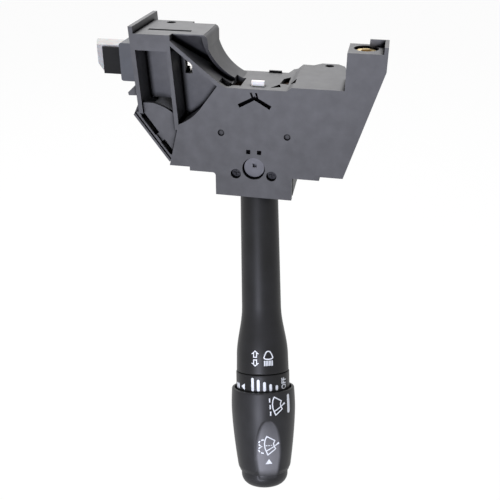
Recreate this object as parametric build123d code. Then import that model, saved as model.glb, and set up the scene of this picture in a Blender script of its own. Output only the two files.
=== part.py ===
from build123d import *
import math
import os

# Combination stalk switch for a steering column: a moulded switch housing that hangs under the
# column, with a turn, dip and wiper lever below it and a hazard push button on its left side.
# The model is drawn from the lever's turning axis where it meets the front face: X to the
# right, Y away from the driver, Z up. save() then moves it so that the origin is the middle of
# the brass insert's top face in the right post.

# Front face and case walls
PLATE_T = 2.4
WALL_T = 2.0
CASE_D = 33.0
FLOOR_Z = 41.4
SHOULDER_Z = 43.2
BASE_Z = -3.7
STEP_Z = -1.6
STEP_X = 33.8
LEFT_FOOT_X = -44.6
RIGHT_FOOT_X = 45.6

# Skirt round the lever's root
BLOCK_X = 20.0
BLOCK_Z = -16.0
BLOCK_RISE = 3.4
BLOCK_FILLET = 1.6
LIP_RELIEF = 0.8
SIDE_GROOVE = 0.8

# Saddle under the steering column
COLUMN_X = 0.8
COLUMN_R = 26.0
SADDLE_DIP = 2.0
COLUMN_Z = FLOOR_Z + COLUMN_R - SADDLE_DIP
SADDLE_BACK_Y = CASE_D - 3.0
SADDLE_LIP_Z = 57.6
SADDLE_ROUND = 2.4
SADDLE_LEFT_X = -17.4
SADDLE_FLOOR_X0 = -14.1
SADDLE_FLOOR_X1 = 15.9
SADDLE_RIGHT_X = 18.3
WINDOW_CUT = 6.0

# Right post with its brass insert
POST_X0 = 43.4
POST_X1 = 62.0
POST_TOP = 61.0
POST_KNEE_Z = 53.0
POST_D = 20.0
INSERT_X = 51.6
INSERT_Y = 11.0
INSERT_R = 4.6
INSERT_BORE_R = 2.5
INSERT_L = 12.0
INSERT_SINK = 1.0
COUNTERBORE_R = 5.9
COUNTERBORE_D = 3.2
INSERT_BOSS_R = 7.0
FIN_T = 1.9
POST_FIN_H = 3.2
POST_WALL_X0 = 52.9
POST_WALL_Y = 15.5
POST_WALL_T = 1.0

# Left frame with its two open bays
FRAME_TOP = 65.0
FRAME_X0 = -61.0
FRAME_X1 = -25.5
SLAB_T = 2.4
SLAB_D = CASE_D + 1.0
SLAB_SLOT_X0 = -55.4
SLAB_SLOT_X1 = -33.5
SLAB_SLOT_Y0 = 10.0
SLAB_SLOT_Y1 = 12.8
LEFT_WALL_T = 2.2
LEFT_WALL_FOOT_X = -59.4
LEFT_WALL_FOOT_Z = 25.5
SIDE_FIN_H = 3.3
SIDE_FIN_D = 40.0
LINTEL_H = 7.8
MID_WALL_T = 1.6
MID_WALL_TOP_X = -43.4
MID_WALL_FOOT_X = -40.2
MID_WALL_FOOT_Z = 20.0
BAY_Y = 15.0
BAY_FLOOR_T = 2.0
BAY_EDGE_Z = 29.9
BAY_CORNER_Z = 23.5
LOW_FLOOR_Y = 1.0
LEDGE_X0 = -41.3
LEDGE_Z0 = 62.3
LEDGE_T = 1.8
LEDGE_FRONT = 4.2
WEB_EDGE_T = 0.6
WEB_LEAN = 0.4
POCKET_LEAN = 0.9
SADDLE_SKIN = 1.6

# Slanting rail at the lower left
RAIL_TOP_X = -62.4
RAIL_TOP_Z = 24.6
RAIL_FOOT_X = -44.6
RAIL_FOOT_Z = 0.4
RAIL_T = 3.3
RAIL_D = 12.0
RAIL_GROOVE = 1.2
RAIL_GROOVE_W = 0.8
RAIL_SLOT_X = 2.9
RAIL_SLOT_W = 2.2
LOW_EDGE_Z = 31.0
LOW_CORNER_X = -52.0

# Terminal chamber behind the bay under the ledge
CHAMBER_X0 = -39.0
CHAMBER_X1 = -34.2
CHAMBER_Z0 = 42.6
CHAMBER_Z1 = 52.0
CHAMBER_D = 5.8
CHAMBER_WALL = 1.2
TERMINAL_T = 0.6

# Screw bosses that hold the switch to the column
FIX_HOLE_R = 2.4
FIX_BOSS_R = 4.6
FIX_BOSS_H = 14.0
LEFT_FIX_X = -49.0
LEFT_FIX_Y = SLAB_D - 4.6
RIGHT_FIX_X = 32.3
RIGHT_FIX_Y = CASE_D + 11.0
FLANGE_T = 3.0

# Rear cover and its two connector shrouds
COVER_T = 2.4
SHROUD_D = 14.0
SHROUD_H = 14.0
SHROUD_WALL = 1.5
SHROUD_Z = 22.0
WIDE_X = 21.0
WIDE_W = 32.0
NARROW_X = -21.0
NARROW_W = 24.0
PIN_PITCH = 4.0
BLADE_W = 1.5
BLADE_T = 0.8
SCREW_R = 1.2
SCREW_HEAD_R = 2.4
SCREW_HEAD_T = 1.6
SCREW_L = 12.0
SCREW_CLEAR = 0.1

# Front bearing of the turning carrier
TRUNNION_R = 5.2
PIVOT_HOLE_R = 5.9
REAR_TRUNNION_R = 4.0
RUN_CLEAR = 0.05
PIVOT_SINK = 2.0
KEY_W = 2.1
KEY_X = 0.2
KEY_Z = 1.1
KEY_D = 2.6
BEARING_SCREW_X = 9.3
BEARING_SCREW_Z = -3.4
BEARING_SCREW_L = 4.6
BEARING_WELL_R = 2.7
BEARING_SEAT_Y = 4.0
WELL_BOSS_R = 3.9
WELL_BOSS_Y = 5.0
BEARING_T = 2.0
COLLAR_L = 6.4
COLLAR_WALL = 2.2
WINDOW_X = 2.8
WINDOW_Z = 9.0
WINDOW_A = 2.2

# Turning carrier and dip hinge
TURN_LIMIT = 12.0
CHEEK_IN = 9.6
CHEEK_T = 3.4
CHEEK_Z0 = -6.0
CHEEK_Z1 = 8.0
WEB_T = 3.0
BEAM_PIN_R = 2.0
BARREL_R = 4.6
SIDE_GAP = 0.3
TOWER_Y = 13.0
TOWER_A = 4.0
TOWER_TOP = 15.6
PLUNGER_R = 2.1
PLUNGER_TOP = 18.4
DRIVE_Z = 14.0
DRIVE_R = 1.2
SLIDE_T = 2.4
SLIDE_W = 22.0
SLIDE_H = 8.0

# Lever: its axis leans towards the driver and a little to the right
LEVER_X = -2.0
LEVER_Y = CASE_D - 8.0
LEVER_TILT = 26.0
LEVER_SKEW = 6.3
NECK_R = 6.0
NECK_T0 = 3.0
STALK_T0 = 21.0
STALK_R = 10.2
STALK_BORE_R = 6.4
SPIGOT_L = 16.0
TUBE_R = 3.1
TUBE_BORE_R = 2.4
TUBE_INSET = 12.0
FLARE_T0 = 84.0
FLARE_T1 = 112.0
FLARE_R = 14.1
RING_T0 = 117.6
RING_R = 14.6
RING_T1 = 134.0
KNOB_T0 = 128.8
KNOB_T1 = 174.6
KNOB_RIM_R = 17.1
KNOB_MAX_R = 17.5
KNOB_END_R = 14.2
CORE_R = 9.0
CORE_BORE_R = 5.0
CORE_T1 = 165.0
CAP_R = 12.7
CAP_T1 = 182.8
CAP_SKIRT = 4.6
CAP_WALL = 1.8
CAP_STEM_R = 2.6
WASHER_TRAVEL = 2.5

# Hazard push button
HAZARD_X0 = -83.2
HAZARD_BACK_X0 = -87.4
HAZARD_X1 = -67.6
HAZARD_Y0 = 9.6
HAZARD_Y1 = 23.5
HAZARD_Z0 = 42.2
HAZARD_Z1 = 56.4
HAZARD_PANEL_X0 = -79.9
HAZARD_PANEL_T = 1.4
HAZARD_PANEL_DROP = 0.8
HAZARD_TRAVEL = 4.0
GUIDE_X0 = -70.2
GUIDE_FLOOR_X = HAZARD_X1 + HAZARD_TRAVEL + 0.2
GUIDE_WALL = 1.7
GUIDE_CLEAR = 0.3
NECK_X1 = -52.0
HAZARD_SPRING_L = 8.0
NECK_Y0 = 18.2
NECK_Y1 = 22.8
NECK_Z0 = 45.0
NECK_Z1 = 52.0

# Cancelling finger in the saddle floor
FINGER_X = 0.7
FINGER_W = 6.4
FINGER_Y = 6.0
FINGER_T = 1.6
FINGER_H = 2.4
FINGER_CLEAR = 0.25

ORIGIN_SHIFT = Location((-INSERT_X, -INSERT_Y, -(POST_TOP - INSERT_SINK)))


# Small drawing helpers

def block(x0, x1, y0, y1, z0, z1):
    """A box given by its limits along each axis."""
    return Pos((x0 + x1) / 2, (y0 + y1) / 2, (z0 + z1) / 2) * Box(x1 - x0, y1 - y0, z1 - z0)


def prism(face, y0, y1):
    """A front-view outline, drawn in X and Z, carried from depth y0 to depth y1."""
    return extrude(Plane.XZ.offset(-y0) * face, amount=y0 - y1)


def outline(*points):
    """A closed face through points."""
    return make_face(Polyline(*points, close=True))


def rod_x(y, z, radius, x0, x1):
    """A round bar along X."""
    return Pos((x0 + x1) / 2, y, z) * Rot(0, 90, 0) * Cylinder(radius, x1 - x0)


def rod_y(x, z, radius, y0, y1):
    """A round bar along Y."""
    return Pos(x, (y0 + y1) / 2, z) * Rot(90, 0, 0) * Cylinder(radius, y1 - y0)


def rod_z(x, y, radius, z0, z1):
    """A round bar along Z."""
    return Pos(x, y, (z0 + z1) / 2) * Cylinder(radius, z1 - z0)


def tube(radius_out, radius_in, t0, t1):
    """A round sleeve along the local Z axis."""
    length = t1 - t0
    return Pos(0, 0, (t0 + t1) / 2) * (Cylinder(radius_out, length) - Cylinder(radius_in, length))


def coil(radius, wire_r, length, turns):
    """A compression spring that stands on the local XY plane."""
    pitch = (length - 2 * wire_r) / turns
    path = Helix(pitch, pitch * turns, radius)
    section = Plane(path @ 0, z_dir=path % 0) * Circle(wire_r)
    return Pos(0, 0, wire_r) * sweep(section, path=path)


def lever_axis():
    """Unit vector from the lever's hinge towards its end."""
    tilt = math.radians(LEVER_TILT)
    skew = math.radians(LEVER_SKEW)
    return Vector(
        math.sin(skew),
        -math.sin(tilt) * math.cos(skew),
        -math.cos(tilt) * math.cos(skew),
    )


LEVER = Plane(origin=(LEVER_X, LEVER_Y, 0), x_dir=(1, 0, 0), z_dir=lever_axis())


def save(name, shape):
    """Write one piece, moved so that the origin is at the brass insert."""
    solids = shape.solids()
    whole = solids[0] if len(solids) == 1 else Compound(children=list(solids))
    export_step(ORIGIN_SHIFT * whole, "parts/" + name + ".step")


# Housing

def saddle_z(x):
    """Height of the round saddle above a place left of the column."""
    return COLUMN_Z - math.sqrt(COLUMN_R ** 2 - (x - COLUMN_X) ** 2)


def left_wall_x(z):
    """Outer side of the frame's slanting left wall at a height."""
    share = (FRAME_TOP + SIDE_FIN_H - z) / (FRAME_TOP + SIDE_FIN_H - LEFT_WALL_FOOT_Z)
    return FRAME_X0 - 1 + share * (LEFT_WALL_FOOT_X - FRAME_X0 + 1)


def plate_face():
    """Outline of the front face."""
    lower = Polyline(
        (-39.3, 19.4),
        (LEFT_FOOT_X, STEP_Z),
        (-STEP_X, STEP_Z),
        (-STEP_X, BASE_Z),
        (-BLOCK_X, BASE_Z),
        (-BLOCK_X, BLOCK_Z),
        (BLOCK_X, BLOCK_Z),
        (BLOCK_X, BASE_Z),
        (STEP_X, BASE_Z),
        (STEP_X, STEP_Z),
        (RIGHT_FOOT_X, STEP_Z),
        (POST_X1, POST_KNEE_Z),
        (POST_X1, POST_TOP),
        (POST_X0, POST_TOP),
        (POST_X0, SHOULDER_Z),
        (SADDLE_RIGHT_X, SHOULDER_Z),
        (SADDLE_FLOOR_X1, FLOOR_Z),
        (SADDLE_FLOOR_X0, FLOOR_Z),
        (SADDLE_LEFT_X, SHOULDER_Z),
        (-27.0, 30.1),
    )
    hollow = ThreePointArc((-27.0, 30.1), (-32.2, 24.8), (-38.6, 21.0))
    corner = Line((-38.6, 21.0), (-39.3, 19.4))
    face = make_face([lower, hollow, corner])
    inner_corners = [v for v in face.vertices() if abs(v.X + BLOCK_X) < 0.01 and abs(v.Y - BASE_Z) < 0.01]
    return fillet(inner_corners, BLOCK_FILLET)


def case_shell():
    """Box behind the front face, open at the back for the rear cover."""
    face = plate_face()
    beyond_post = Pos(POST_X0 + WALL_T + 50, 0) * Rectangle(100, 200)
    above_floor = Pos(POST_X0 + 10, SHOULDER_Z + 50) * Rectangle(20, 100)
    case_face = face - beyond_post - above_floor
    room = offset(case_face, amount=-WALL_T, kind=Kind.INTERSECTION)
    shell = prism(face, 0, PLATE_T) + prism(case_face, 0, CASE_D)
    return shell - prism(room, PLATE_T, CASE_D)


def post():
    """Right post: a cored column with the boss for the brass insert."""
    face = plate_face() & (Pos(POST_X0 + 50, 20) * Rectangle(100, 200))
    room = offset(face, amount=-WALL_T, kind=Kind.INTERSECTION)
    body = prism(face, 0, POST_D) - prism(room, PLATE_T, POST_D)
    body += rod_z(INSERT_X, INSERT_Y, INSERT_BOSS_R, POST_TOP - INSERT_L - WALL_T, POST_TOP - 1)
    body -= rod_z(INSERT_X, INSERT_Y, COUNTERBORE_R, POST_TOP - COUNTERBORE_D, POST_TOP + 1)
    body -= rod_z(INSERT_X, INSERT_Y, INSERT_R, POST_TOP - INSERT_SINK - INSERT_L, POST_TOP)
    fin_top = POST_TOP + POST_FIN_H
    wall_back = POST_WALL_Y + POST_WALL_T
    body += block(POST_X1 - FIN_T, POST_X1, 0, wall_back, POST_TOP - 1, fin_top)
    body += block(POST_WALL_X0, POST_X1 - 1, POST_WALL_Y, wall_back, POST_TOP - COUNTERBORE_D, fin_top)
    return body


def web_front():
    """Space before the saddle web: its edge leans back a little, and a pocket behind it more."""
    def wedge(slope):
        foot_y = LEDGE_FRONT + slope * (FRAME_TOP - WEB_EDGE_T - FLOOR_Z)
        side = Plane.YZ.offset(LEDGE_X0) * outline(
            (-1, FRAME_TOP + 1), (LEDGE_FRONT, FRAME_TOP + 1), (LEDGE_FRONT, FRAME_TOP - WEB_EDGE_T),
            (foot_y, FLOOR_Z), (-1, FLOOR_Z),
        )
        return extrude(side, amount=COLUMN_X - LEDGE_X0)

    skin = rod_y(COLUMN_X, COLUMN_Z, COLUMN_R + SADDLE_SKIN, -1, CASE_D)
    return wedge(WEB_LEAN) + (wedge(POCKET_LEAN) - skin)


def left_frame():
    """Open frame left of the case: slab, outer wall, lintel, middle wall and bay floors."""
    slab = block(FRAME_X0, FRAME_X1, LEDGE_FRONT, SLAB_D - 4, FRAME_TOP - SLAB_T, FRAME_TOP) - web_front()
    slab += block(FRAME_X0, LEDGE_X0, 0, LEDGE_FRONT + 1, FRAME_TOP - SLAB_T, FRAME_TOP)
    slab += prism(
        outline((LEFT_FIX_X - 11, FRAME_TOP - SLAB_T), (LEFT_FIX_X + 11, FRAME_TOP - SLAB_T),
                (LEFT_FIX_X + 11, FRAME_TOP), (LEFT_FIX_X - 11, FRAME_TOP)),
        SLAB_D - 5, SLAB_D,
    )
    fin_top = FRAME_TOP + SIDE_FIN_H
    wall = prism(
        outline((FRAME_X0 - 1, fin_top), (FRAME_X0 + LEFT_WALL_T - 1, fin_top),
                (LEFT_WALL_FOOT_X + LEFT_WALL_T, LEFT_WALL_FOOT_Z),
                (LEFT_WALL_FOOT_X, LEFT_WALL_FOOT_Z)),
        0, SIDE_FIN_D,
    )
    lintel = block(FRAME_X0, LEDGE_X0, 0, WALL_T, FRAME_TOP - LINTEL_H, FRAME_TOP)
    middle = prism(
        outline((MID_WALL_TOP_X, FRAME_TOP), (MID_WALL_TOP_X + MID_WALL_T, FRAME_TOP),
                (MID_WALL_FOOT_X + MID_WALL_T, MID_WALL_FOOT_Z - 2),
                (MID_WALL_FOOT_X - 0.6, MID_WALL_FOOT_Z - 2)),
        0, BAY_Y + BAY_FLOOR_T,
    )
    floors = prism(
        outline((FRAME_X0, FRAME_TOP - 1), (LEDGE_X0, FRAME_TOP - 1), (LEDGE_X0, LEDGE_Z0 - 1),
                (SADDLE_LEFT_X, SHOULDER_Z - 1), (-26.0, 30.0), (-36.0, 21.5),
                (MID_WALL_FOOT_X, BAY_CORNER_Z), (MID_WALL_FOOT_X, BAY_EDGE_Z),
                (LEFT_WALL_FOOT_X + 1, BAY_EDGE_Z)),
        BAY_Y, BAY_Y + BAY_FLOOR_T,
    )
    ledge = prism(
        outline((LEDGE_X0 - 1, LEDGE_Z0 + 0.8), (SADDLE_LEFT_X, SHOULDER_Z),
                (SADDLE_LEFT_X, SHOULDER_Z - LEDGE_T * 1.3),
                (LEDGE_X0 - 1, LEDGE_Z0 + 0.8 - LEDGE_T * 1.3)),
        0, CASE_D,
    )
    y0 = BAY_Y + BAY_FLOOR_T
    chamber = block(
        CHAMBER_X0 - CHAMBER_WALL, CHAMBER_X1 + CHAMBER_WALL, y0 - 0.5, y0 + CHAMBER_D + CHAMBER_WALL,
        CHAMBER_Z0 - CHAMBER_WALL, CHAMBER_Z1 + CHAMBER_WALL,
    )
    chamber -= block(CHAMBER_X0, CHAMBER_X1, y0, y0 + CHAMBER_D, CHAMBER_Z0, CHAMBER_Z1)
    return slab + wall + lintel + middle + floors + ledge + chamber


def saddle_web():
    """Round saddle: the thick web left of the column."""
    foot_x = COLUMN_X - math.sqrt(COLUMN_R ** 2 - (COLUMN_Z - FLOOR_Z) ** 2)
    lip_x = COLUMN_X - math.sqrt(COLUMN_R ** 2 - (COLUMN_Z - SADDLE_LIP_Z) ** 2)
    mid_x = -18.0
    saddle = ThreePointArc((foot_x, FLOOR_Z), (mid_x, saddle_z(mid_x)), (lip_x, SADDLE_LIP_Z))
    lip = Line((lip_x, SADDLE_LIP_Z), (lip_x, FRAME_TOP - SADDLE_ROUND))
    crown = RadiusArc((lip_x, FRAME_TOP - SADDLE_ROUND), (lip_x - SADDLE_ROUND, FRAME_TOP), -SADDLE_ROUND)
    rest = Polyline(
        (lip_x - SADDLE_ROUND, FRAME_TOP),
        (LEDGE_X0 + 1, FRAME_TOP),
        (LEDGE_X0 + 1, LEDGE_Z0 - 2),
        (SADDLE_LEFT_X, SHOULDER_Z - 1.5),
        (foot_x, FLOOR_Z - 1),
        (foot_x, FLOOR_Z),
    )
    web = prism(make_face([saddle, lip, crown, rest]), 1.0, SADDLE_BACK_Y)
    return web - web_front()


def rail():
    """Grooved connector rail along the lower left edge, and the low floor beside it."""
    length = math.hypot(RAIL_FOOT_X - RAIL_TOP_X, RAIL_FOOT_Z - RAIL_TOP_Z)
    out_x = (RAIL_FOOT_Z - RAIL_TOP_Z) / length
    out_z = (RAIL_TOP_X - RAIL_FOOT_X) / length

    def band(near, far, start=0.0, end=1.0):
        """Part of the rail between two distances from its outer edge."""
        x0 = RAIL_TOP_X + (RAIL_FOOT_X - RAIL_TOP_X) * start
        z0 = RAIL_TOP_Z + (RAIL_FOOT_Z - RAIL_TOP_Z) * start
        x1 = RAIL_TOP_X + (RAIL_FOOT_X - RAIL_TOP_X) * end
        z1 = RAIL_TOP_Z + (RAIL_FOOT_Z - RAIL_TOP_Z) * end
        return outline(
            (x0 - near * out_x, z0 - near * out_z), (x1 - near * out_x, z1 - near * out_z),
            (x1 - far * out_x, z1 - far * out_z), (x0 - far * out_x, z0 - far * out_z),
        )

    strip = prism(band(0, RAIL_T), 0, RAIL_D)
    groove = prism(band(RAIL_GROOVE, RAIL_GROOVE + RAIL_GROOVE_W), -1, 1.4)
    top_arc = ThreePointArc((LOW_CORNER_X, LOW_EDGE_Z), (-47.4, 29.6), (-41.5, 26.4))
    rest = Polyline(
        (-41.5, 26.4), (-38.5, 19.0), (LEFT_FOOT_X + 1, STEP_Z + 1), (RAIL_FOOT_X, RAIL_FOOT_Z),
        (RAIL_TOP_X, RAIL_TOP_Z), (LEFT_WALL_FOOT_X, LOW_EDGE_Z), (LOW_CORNER_X, LOW_EDGE_Z),
    )
    low_floor = prism(make_face([top_arc, rest]), LOW_FLOOR_Y, LOW_FLOOR_Y + WALL_T)
    back_wall = prism(
        outline((LEFT_WALL_FOOT_X, BAY_EDGE_Z + 9.6), (LEFT_WALL_FOOT_X, LOW_EDGE_Z),
                (RAIL_TOP_X, RAIL_TOP_Z), (RAIL_FOOT_X, RAIL_FOOT_Z + 2.6), (-38.0, 19.0), (-36.0, 28.0)),
        BAY_Y + 9, BAY_Y + 9 + WALL_T,
    )
    for start, end in ((0.09, 0.49), (0.64, 0.90)):
        slot = prism(
            band(RAIL_SLOT_X, RAIL_SLOT_X + RAIL_SLOT_W, start, end), -1, LOW_FLOOR_Y + WALL_T + 1
        )
        low_floor -= slot
        strip -= slot
    return strip - groove + low_floor + back_wall


def rear_flange():
    """Flange behind the right shoulder, and both column screw bosses."""
    back = RIGHT_FIX_Y + FIX_BOSS_R
    flange = extrude(Plane.XY.offset(SHOULDER_Z - FLANGE_T) * make_face(Polyline(
        (SADDLE_FLOOR_X1 - 4, CASE_D - 1), (POST_X0, CASE_D - 1), (RIGHT_FIX_X + 7.9, back - 3.9),
        (RIGHT_FIX_X + 4.4, back), (RIGHT_FIX_X - 4.2, back), (RIGHT_FIX_X - 8.3, back - 4.6),
        (SADDLE_RIGHT_X, back - 4.2), (SADDLE_FLOOR_X1 - 2, back - 8.0), close=True,
    )), amount=FLANGE_T)
    dip = prism(
        outline((SADDLE_FLOOR_X1 - 6, FLOOR_Z), (SADDLE_FLOOR_X1, FLOOR_Z), (SADDLE_RIGHT_X, SHOULDER_Z),
                (SADDLE_RIGHT_X, SHOULDER_Z + 2), (SADDLE_FLOOR_X1 - 6, SHOULDER_Z + 2)),
        CASE_D - 2, back,
    )
    body = flange - dip
    body += rod_z(RIGHT_FIX_X, RIGHT_FIX_Y, FIX_BOSS_R, SHOULDER_Z - FIX_BOSS_H, SHOULDER_Z)
    body += rod_z(LEFT_FIX_X, LEFT_FIX_Y, FIX_BOSS_R, FRAME_TOP - FIX_BOSS_H, FRAME_TOP)
    body += block(LEFT_FIX_X - 1, LEFT_FIX_X + 1, BAY_Y + 1, LEFT_FIX_Y,
                  FRAME_TOP - FIX_BOSS_H / 2, FRAME_TOP)
    return body


def saddle_windows():
    """Snap windows in the saddle floor, the finger's slot and the lowered tongues."""
    top = SHOULDER_Z + 1
    high = SHOULDER_Z + 6
    low = FLOOR_Z - WINDOW_CUT
    cuts = block(-18.0, -12.7, PLATE_T, 9.4, low, high)
    cuts += block(-12.3, -7.5, 7.2, 18.6, low, high)
    cuts += block(-12.7, -7.5, PLATE_T + 0.8, 7.2, FLOOR_Z - 0.7, high)
    for corners in (
        ((10.7, 12.4), (11.5, 21.2), (14.6, 24.8), (15.0, 11.4)),
        ((15.8, 12.1), (18.6, 16.0), (18.8, 7.8)),
        ((7.3, 4.3), (10.8, 11.0), (12.1, 6.1)),
    ):
        cuts += extrude(Plane.XY.offset(low) * outline(*corners), amount=top - low)
    half = FINGER_W / 2 + FINGER_CLEAR
    cuts += block(
        FINGER_X - half, FINGER_X + half, FINGER_Y - FINGER_CLEAR,
        FINGER_Y + FINGER_T + FINGER_CLEAR, FLOOR_Z - 3, top,
    )
    return cuts


def chevron():
    """Arrow-shaped slot in the front face, with two short stem marks over it."""
    shape = outline(
        (0.2, 38.0), (8.6, 33.45), (7.7, 31.65), (0.2, 35.95), (-7.25, 31.8), (-8.2, 33.5),
    )
    cut = prism(shape, -1, PLATE_T + 1)
    for top_x, foot_x in ((-1.65, -0.75), (0.9, 1.7)):
        stem = outline((top_x - 0.5, 39.7), (top_x + 0.5, 39.7), (foot_x + 0.5, 37.0), (foot_x - 0.5, 37.0))
        cut += prism(stem, -1, 1.2)
    return cut


def cover_screw_places():
    """Where the rear cover is screwed to the case, as X and Z."""
    return [(-36.5, 6.0), (36.0, 5.0), (-19.5, 33.5), (38.5, 36.5)]


def housing():
    """The moulded glass-filled nylon housing."""
    body = case_shell() + post() + left_frame() + saddle_web() + rail() + rear_flange()
    for x, z in cover_screw_places():
        body += rod_y(x, z, 3.0, PLATE_T - 0.2, CASE_D)
        body -= rod_y(x, z, SCREW_R + SCREW_CLEAR, CASE_D - SCREW_L, CASE_D)
    body -= rod_z(RIGHT_FIX_X, RIGHT_FIX_Y, FIX_HOLE_R, SHOULDER_Z - FIX_BOSS_H - 1, SHOULDER_Z + 1)
    body -= rod_z(LEFT_FIX_X, LEFT_FIX_Y, FIX_HOLE_R, FRAME_TOP - FIX_BOSS_H - 1, FRAME_TOP + 1)
    body -= rod_y(0, 0, PIVOT_HOLE_R, -1, PLATE_T + 1)
    for side in (-1, 1):
        body -= block(
            side * WINDOW_X - WINDOW_A / 2, side * WINDOW_X + WINDOW_A / 2, -1, PLATE_T + 1,
            WINDOW_Z - WINDOW_A / 2, WINDOW_Z + WINDOW_A / 2,
        )
        body -= rod_y(side * 16.8, 18.2, 1.7, -1, 0.7)
    body -= saddle_windows()
    body -= chevron()
    body -= block(SLAB_SLOT_X0, SLAB_SLOT_X1, SLAB_SLOT_Y0, SLAB_SLOT_Y1,
                  FRAME_TOP - SLAB_T - 1, FRAME_TOP + 1)
    body -= block(CHAMBER_X0 + 0.6, CHAMBER_X1 - 0.6, BAY_Y - 1, BAY_Y + BAY_FLOOR_T + 1,
                  CHAMBER_Z0 + 0.6, CHAMBER_Z1 - 1.6)
    body -= block(
        FRAME_X0 - 2, FRAME_X0 + LEFT_WALL_T + 2, NECK_Y0 - GUIDE_CLEAR, NECK_Y1 + GUIDE_CLEAR,
        NECK_Z0 - GUIDE_CLEAR, NECK_Z1 + GUIDE_CLEAR,
    )
    skirt_cut = Plane.YZ.offset(-BLOCK_X - 1) * outline(
        (PLATE_T, BLOCK_Z - 1), (CASE_D + 1, BLOCK_Z - 1), (CASE_D + 1, BLOCK_Z + BLOCK_RISE),
        (PLATE_T, BLOCK_Z + BLOCK_RISE * PLATE_T / CASE_D),
    )
    body -= extrude(skirt_cut, amount=2 * BLOCK_X + 2)
    inside = BLOCK_X - WALL_T
    body -= block(-inside, inside, PLATE_T, CASE_D + 1, BLOCK_Z - 2, BASE_Z + WALL_T)
    body -= block(-inside, inside, PLATE_T - LIP_RELIEF, PLATE_T + 1, BLOCK_Z - 1, BLOCK_Z + 4)
    body -= block(BLOCK_X - SIDE_GROOVE, BLOCK_X + 1, PLATE_T, PLATE_T + 2.8, BLOCK_Z - 1, BASE_Z)
    for x in (-BEARING_SCREW_X, BEARING_SCREW_X):
        body += rod_y(x, BEARING_SCREW_Z, WELL_BOSS_R, PLATE_T - 0.5, WELL_BOSS_Y)
        body -= rod_y(x, BEARING_SCREW_Z, BEARING_WELL_R, -1, BEARING_SEAT_Y)
        body -= rod_y(x, BEARING_SCREW_Z, SCREW_R + SCREW_CLEAR, 0, WELL_BOSS_Y + 1)
    body += prism(
        outline((-64.8, 35.6), (-60.0, 40.2), (-59.4, 34.4), (-64.4, 34.2)), 1.0, 6.0
    )
    body += block(2.0, 8.6, CASE_D - 1.2, CASE_D, FLOOR_Z - 1, FLOOR_Z + 1.0)
    seat_x = NECK_X1 + HAZARD_SPRING_L
    body += block(seat_x, seat_x + 1.6, BAY_Y + 1, NECK_Y1 + 1, NECK_Z0 - 1, NECK_Z1 + 1)
    return body


def post_insert():
    """Threaded brass insert in the post."""
    sleeve = rod_z(INSERT_X, INSERT_Y, INSERT_R, POST_TOP - INSERT_SINK - INSERT_L, POST_TOP - INSERT_SINK)
    bore = rod_z(INSERT_X, INSERT_Y, INSERT_BORE_R, POST_TOP - 2 * INSERT_L, POST_TOP)
    groove = tube(INSERT_R + 1, INSERT_R - 0.5, -0.7, 0.7)
    for step in (0.35, 0.7):
        depth = POST_TOP - INSERT_SINK - INSERT_L * step
        sleeve -= Pos(INSERT_X, INSERT_Y, depth) * groove
    return sleeve - bore


# Rear cover and electrical pieces

def shroud(x, width):
    """One open connector socket on the rear cover."""
    y0 = CASE_D + COVER_T - 0.4
    y1 = CASE_D + COVER_T + SHROUD_D
    outer = block(x - width / 2, x + width / 2, y0, y1, SHROUD_Z - SHROUD_H / 2, SHROUD_Z + SHROUD_H / 2)
    in_w = width / 2 - SHROUD_WALL
    in_h = SHROUD_H / 2 - SHROUD_WALL
    socket = block(x - in_w, x + in_w, CASE_D + COVER_T + 1, y1 + 1, SHROUD_Z - in_h, SHROUD_Z + in_h)
    latch = block(x - 3, x + 3, y1 - 6, y1 - 2, SHROUD_Z + in_h, SHROUD_Z + SHROUD_H / 2 + 1.4)
    key = block(x - in_w, x - in_w + 1.2, y1 - 8, y1, SHROUD_Z - 1, SHROUD_Z + 1)
    return outer - socket + latch + key


def pin_places(x, width):
    """Blade positions of one connector, as X and Z."""
    count = int((width - 2 * SHROUD_WALL - 2) // PIN_PITCH)
    start = x - (count - 1) * PIN_PITCH / 2
    return [(start + i * PIN_PITCH, SHROUD_Z + row * 2.4) for i in range(count) for row in (-1, 1)]


def rear_cover():
    """Back plate that closes the case and carries the connectors and the rear bearing."""
    face = plate_face() - Pos(POST_X0 + 50, 0) * Rectangle(100, 200)
    face -= Pos(0, SHOULDER_Z - FLANGE_T - 0.2 + 50) * Rectangle(200, 100)
    face -= Pos(0, BLOCK_Z + BLOCK_RISE - 50) * Rectangle(200, 100)
    body = prism(face, CASE_D, CASE_D + COVER_T)
    body += rod_y(0, 0, REAR_TRUNNION_R + 3, CASE_D, CASE_D + COVER_T + 1.4)
    body += shroud(WIDE_X, WIDE_W) + shroud(NARROW_X, NARROW_W)
    body -= rod_y(0, 0, REAR_TRUNNION_R + RUN_CLEAR, CASE_D - 1, CASE_D + COVER_T + 2)
    for x, z in cover_screw_places():
        body -= rod_y(x, z, SCREW_R + SCREW_CLEAR, CASE_D - 1, CASE_D + COVER_T + 1)
    for x, z in pin_places(WIDE_X, WIDE_W) + pin_places(NARROW_X, NARROW_W):
        body -= block(x - BLADE_W / 2 - 0.05, x + BLADE_W / 2 + 0.05, CASE_D - 1, CASE_D + COVER_T + 2,
                      z - BLADE_T / 2 - 0.05, z + BLADE_T / 2 + 0.05)
    return body


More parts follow.
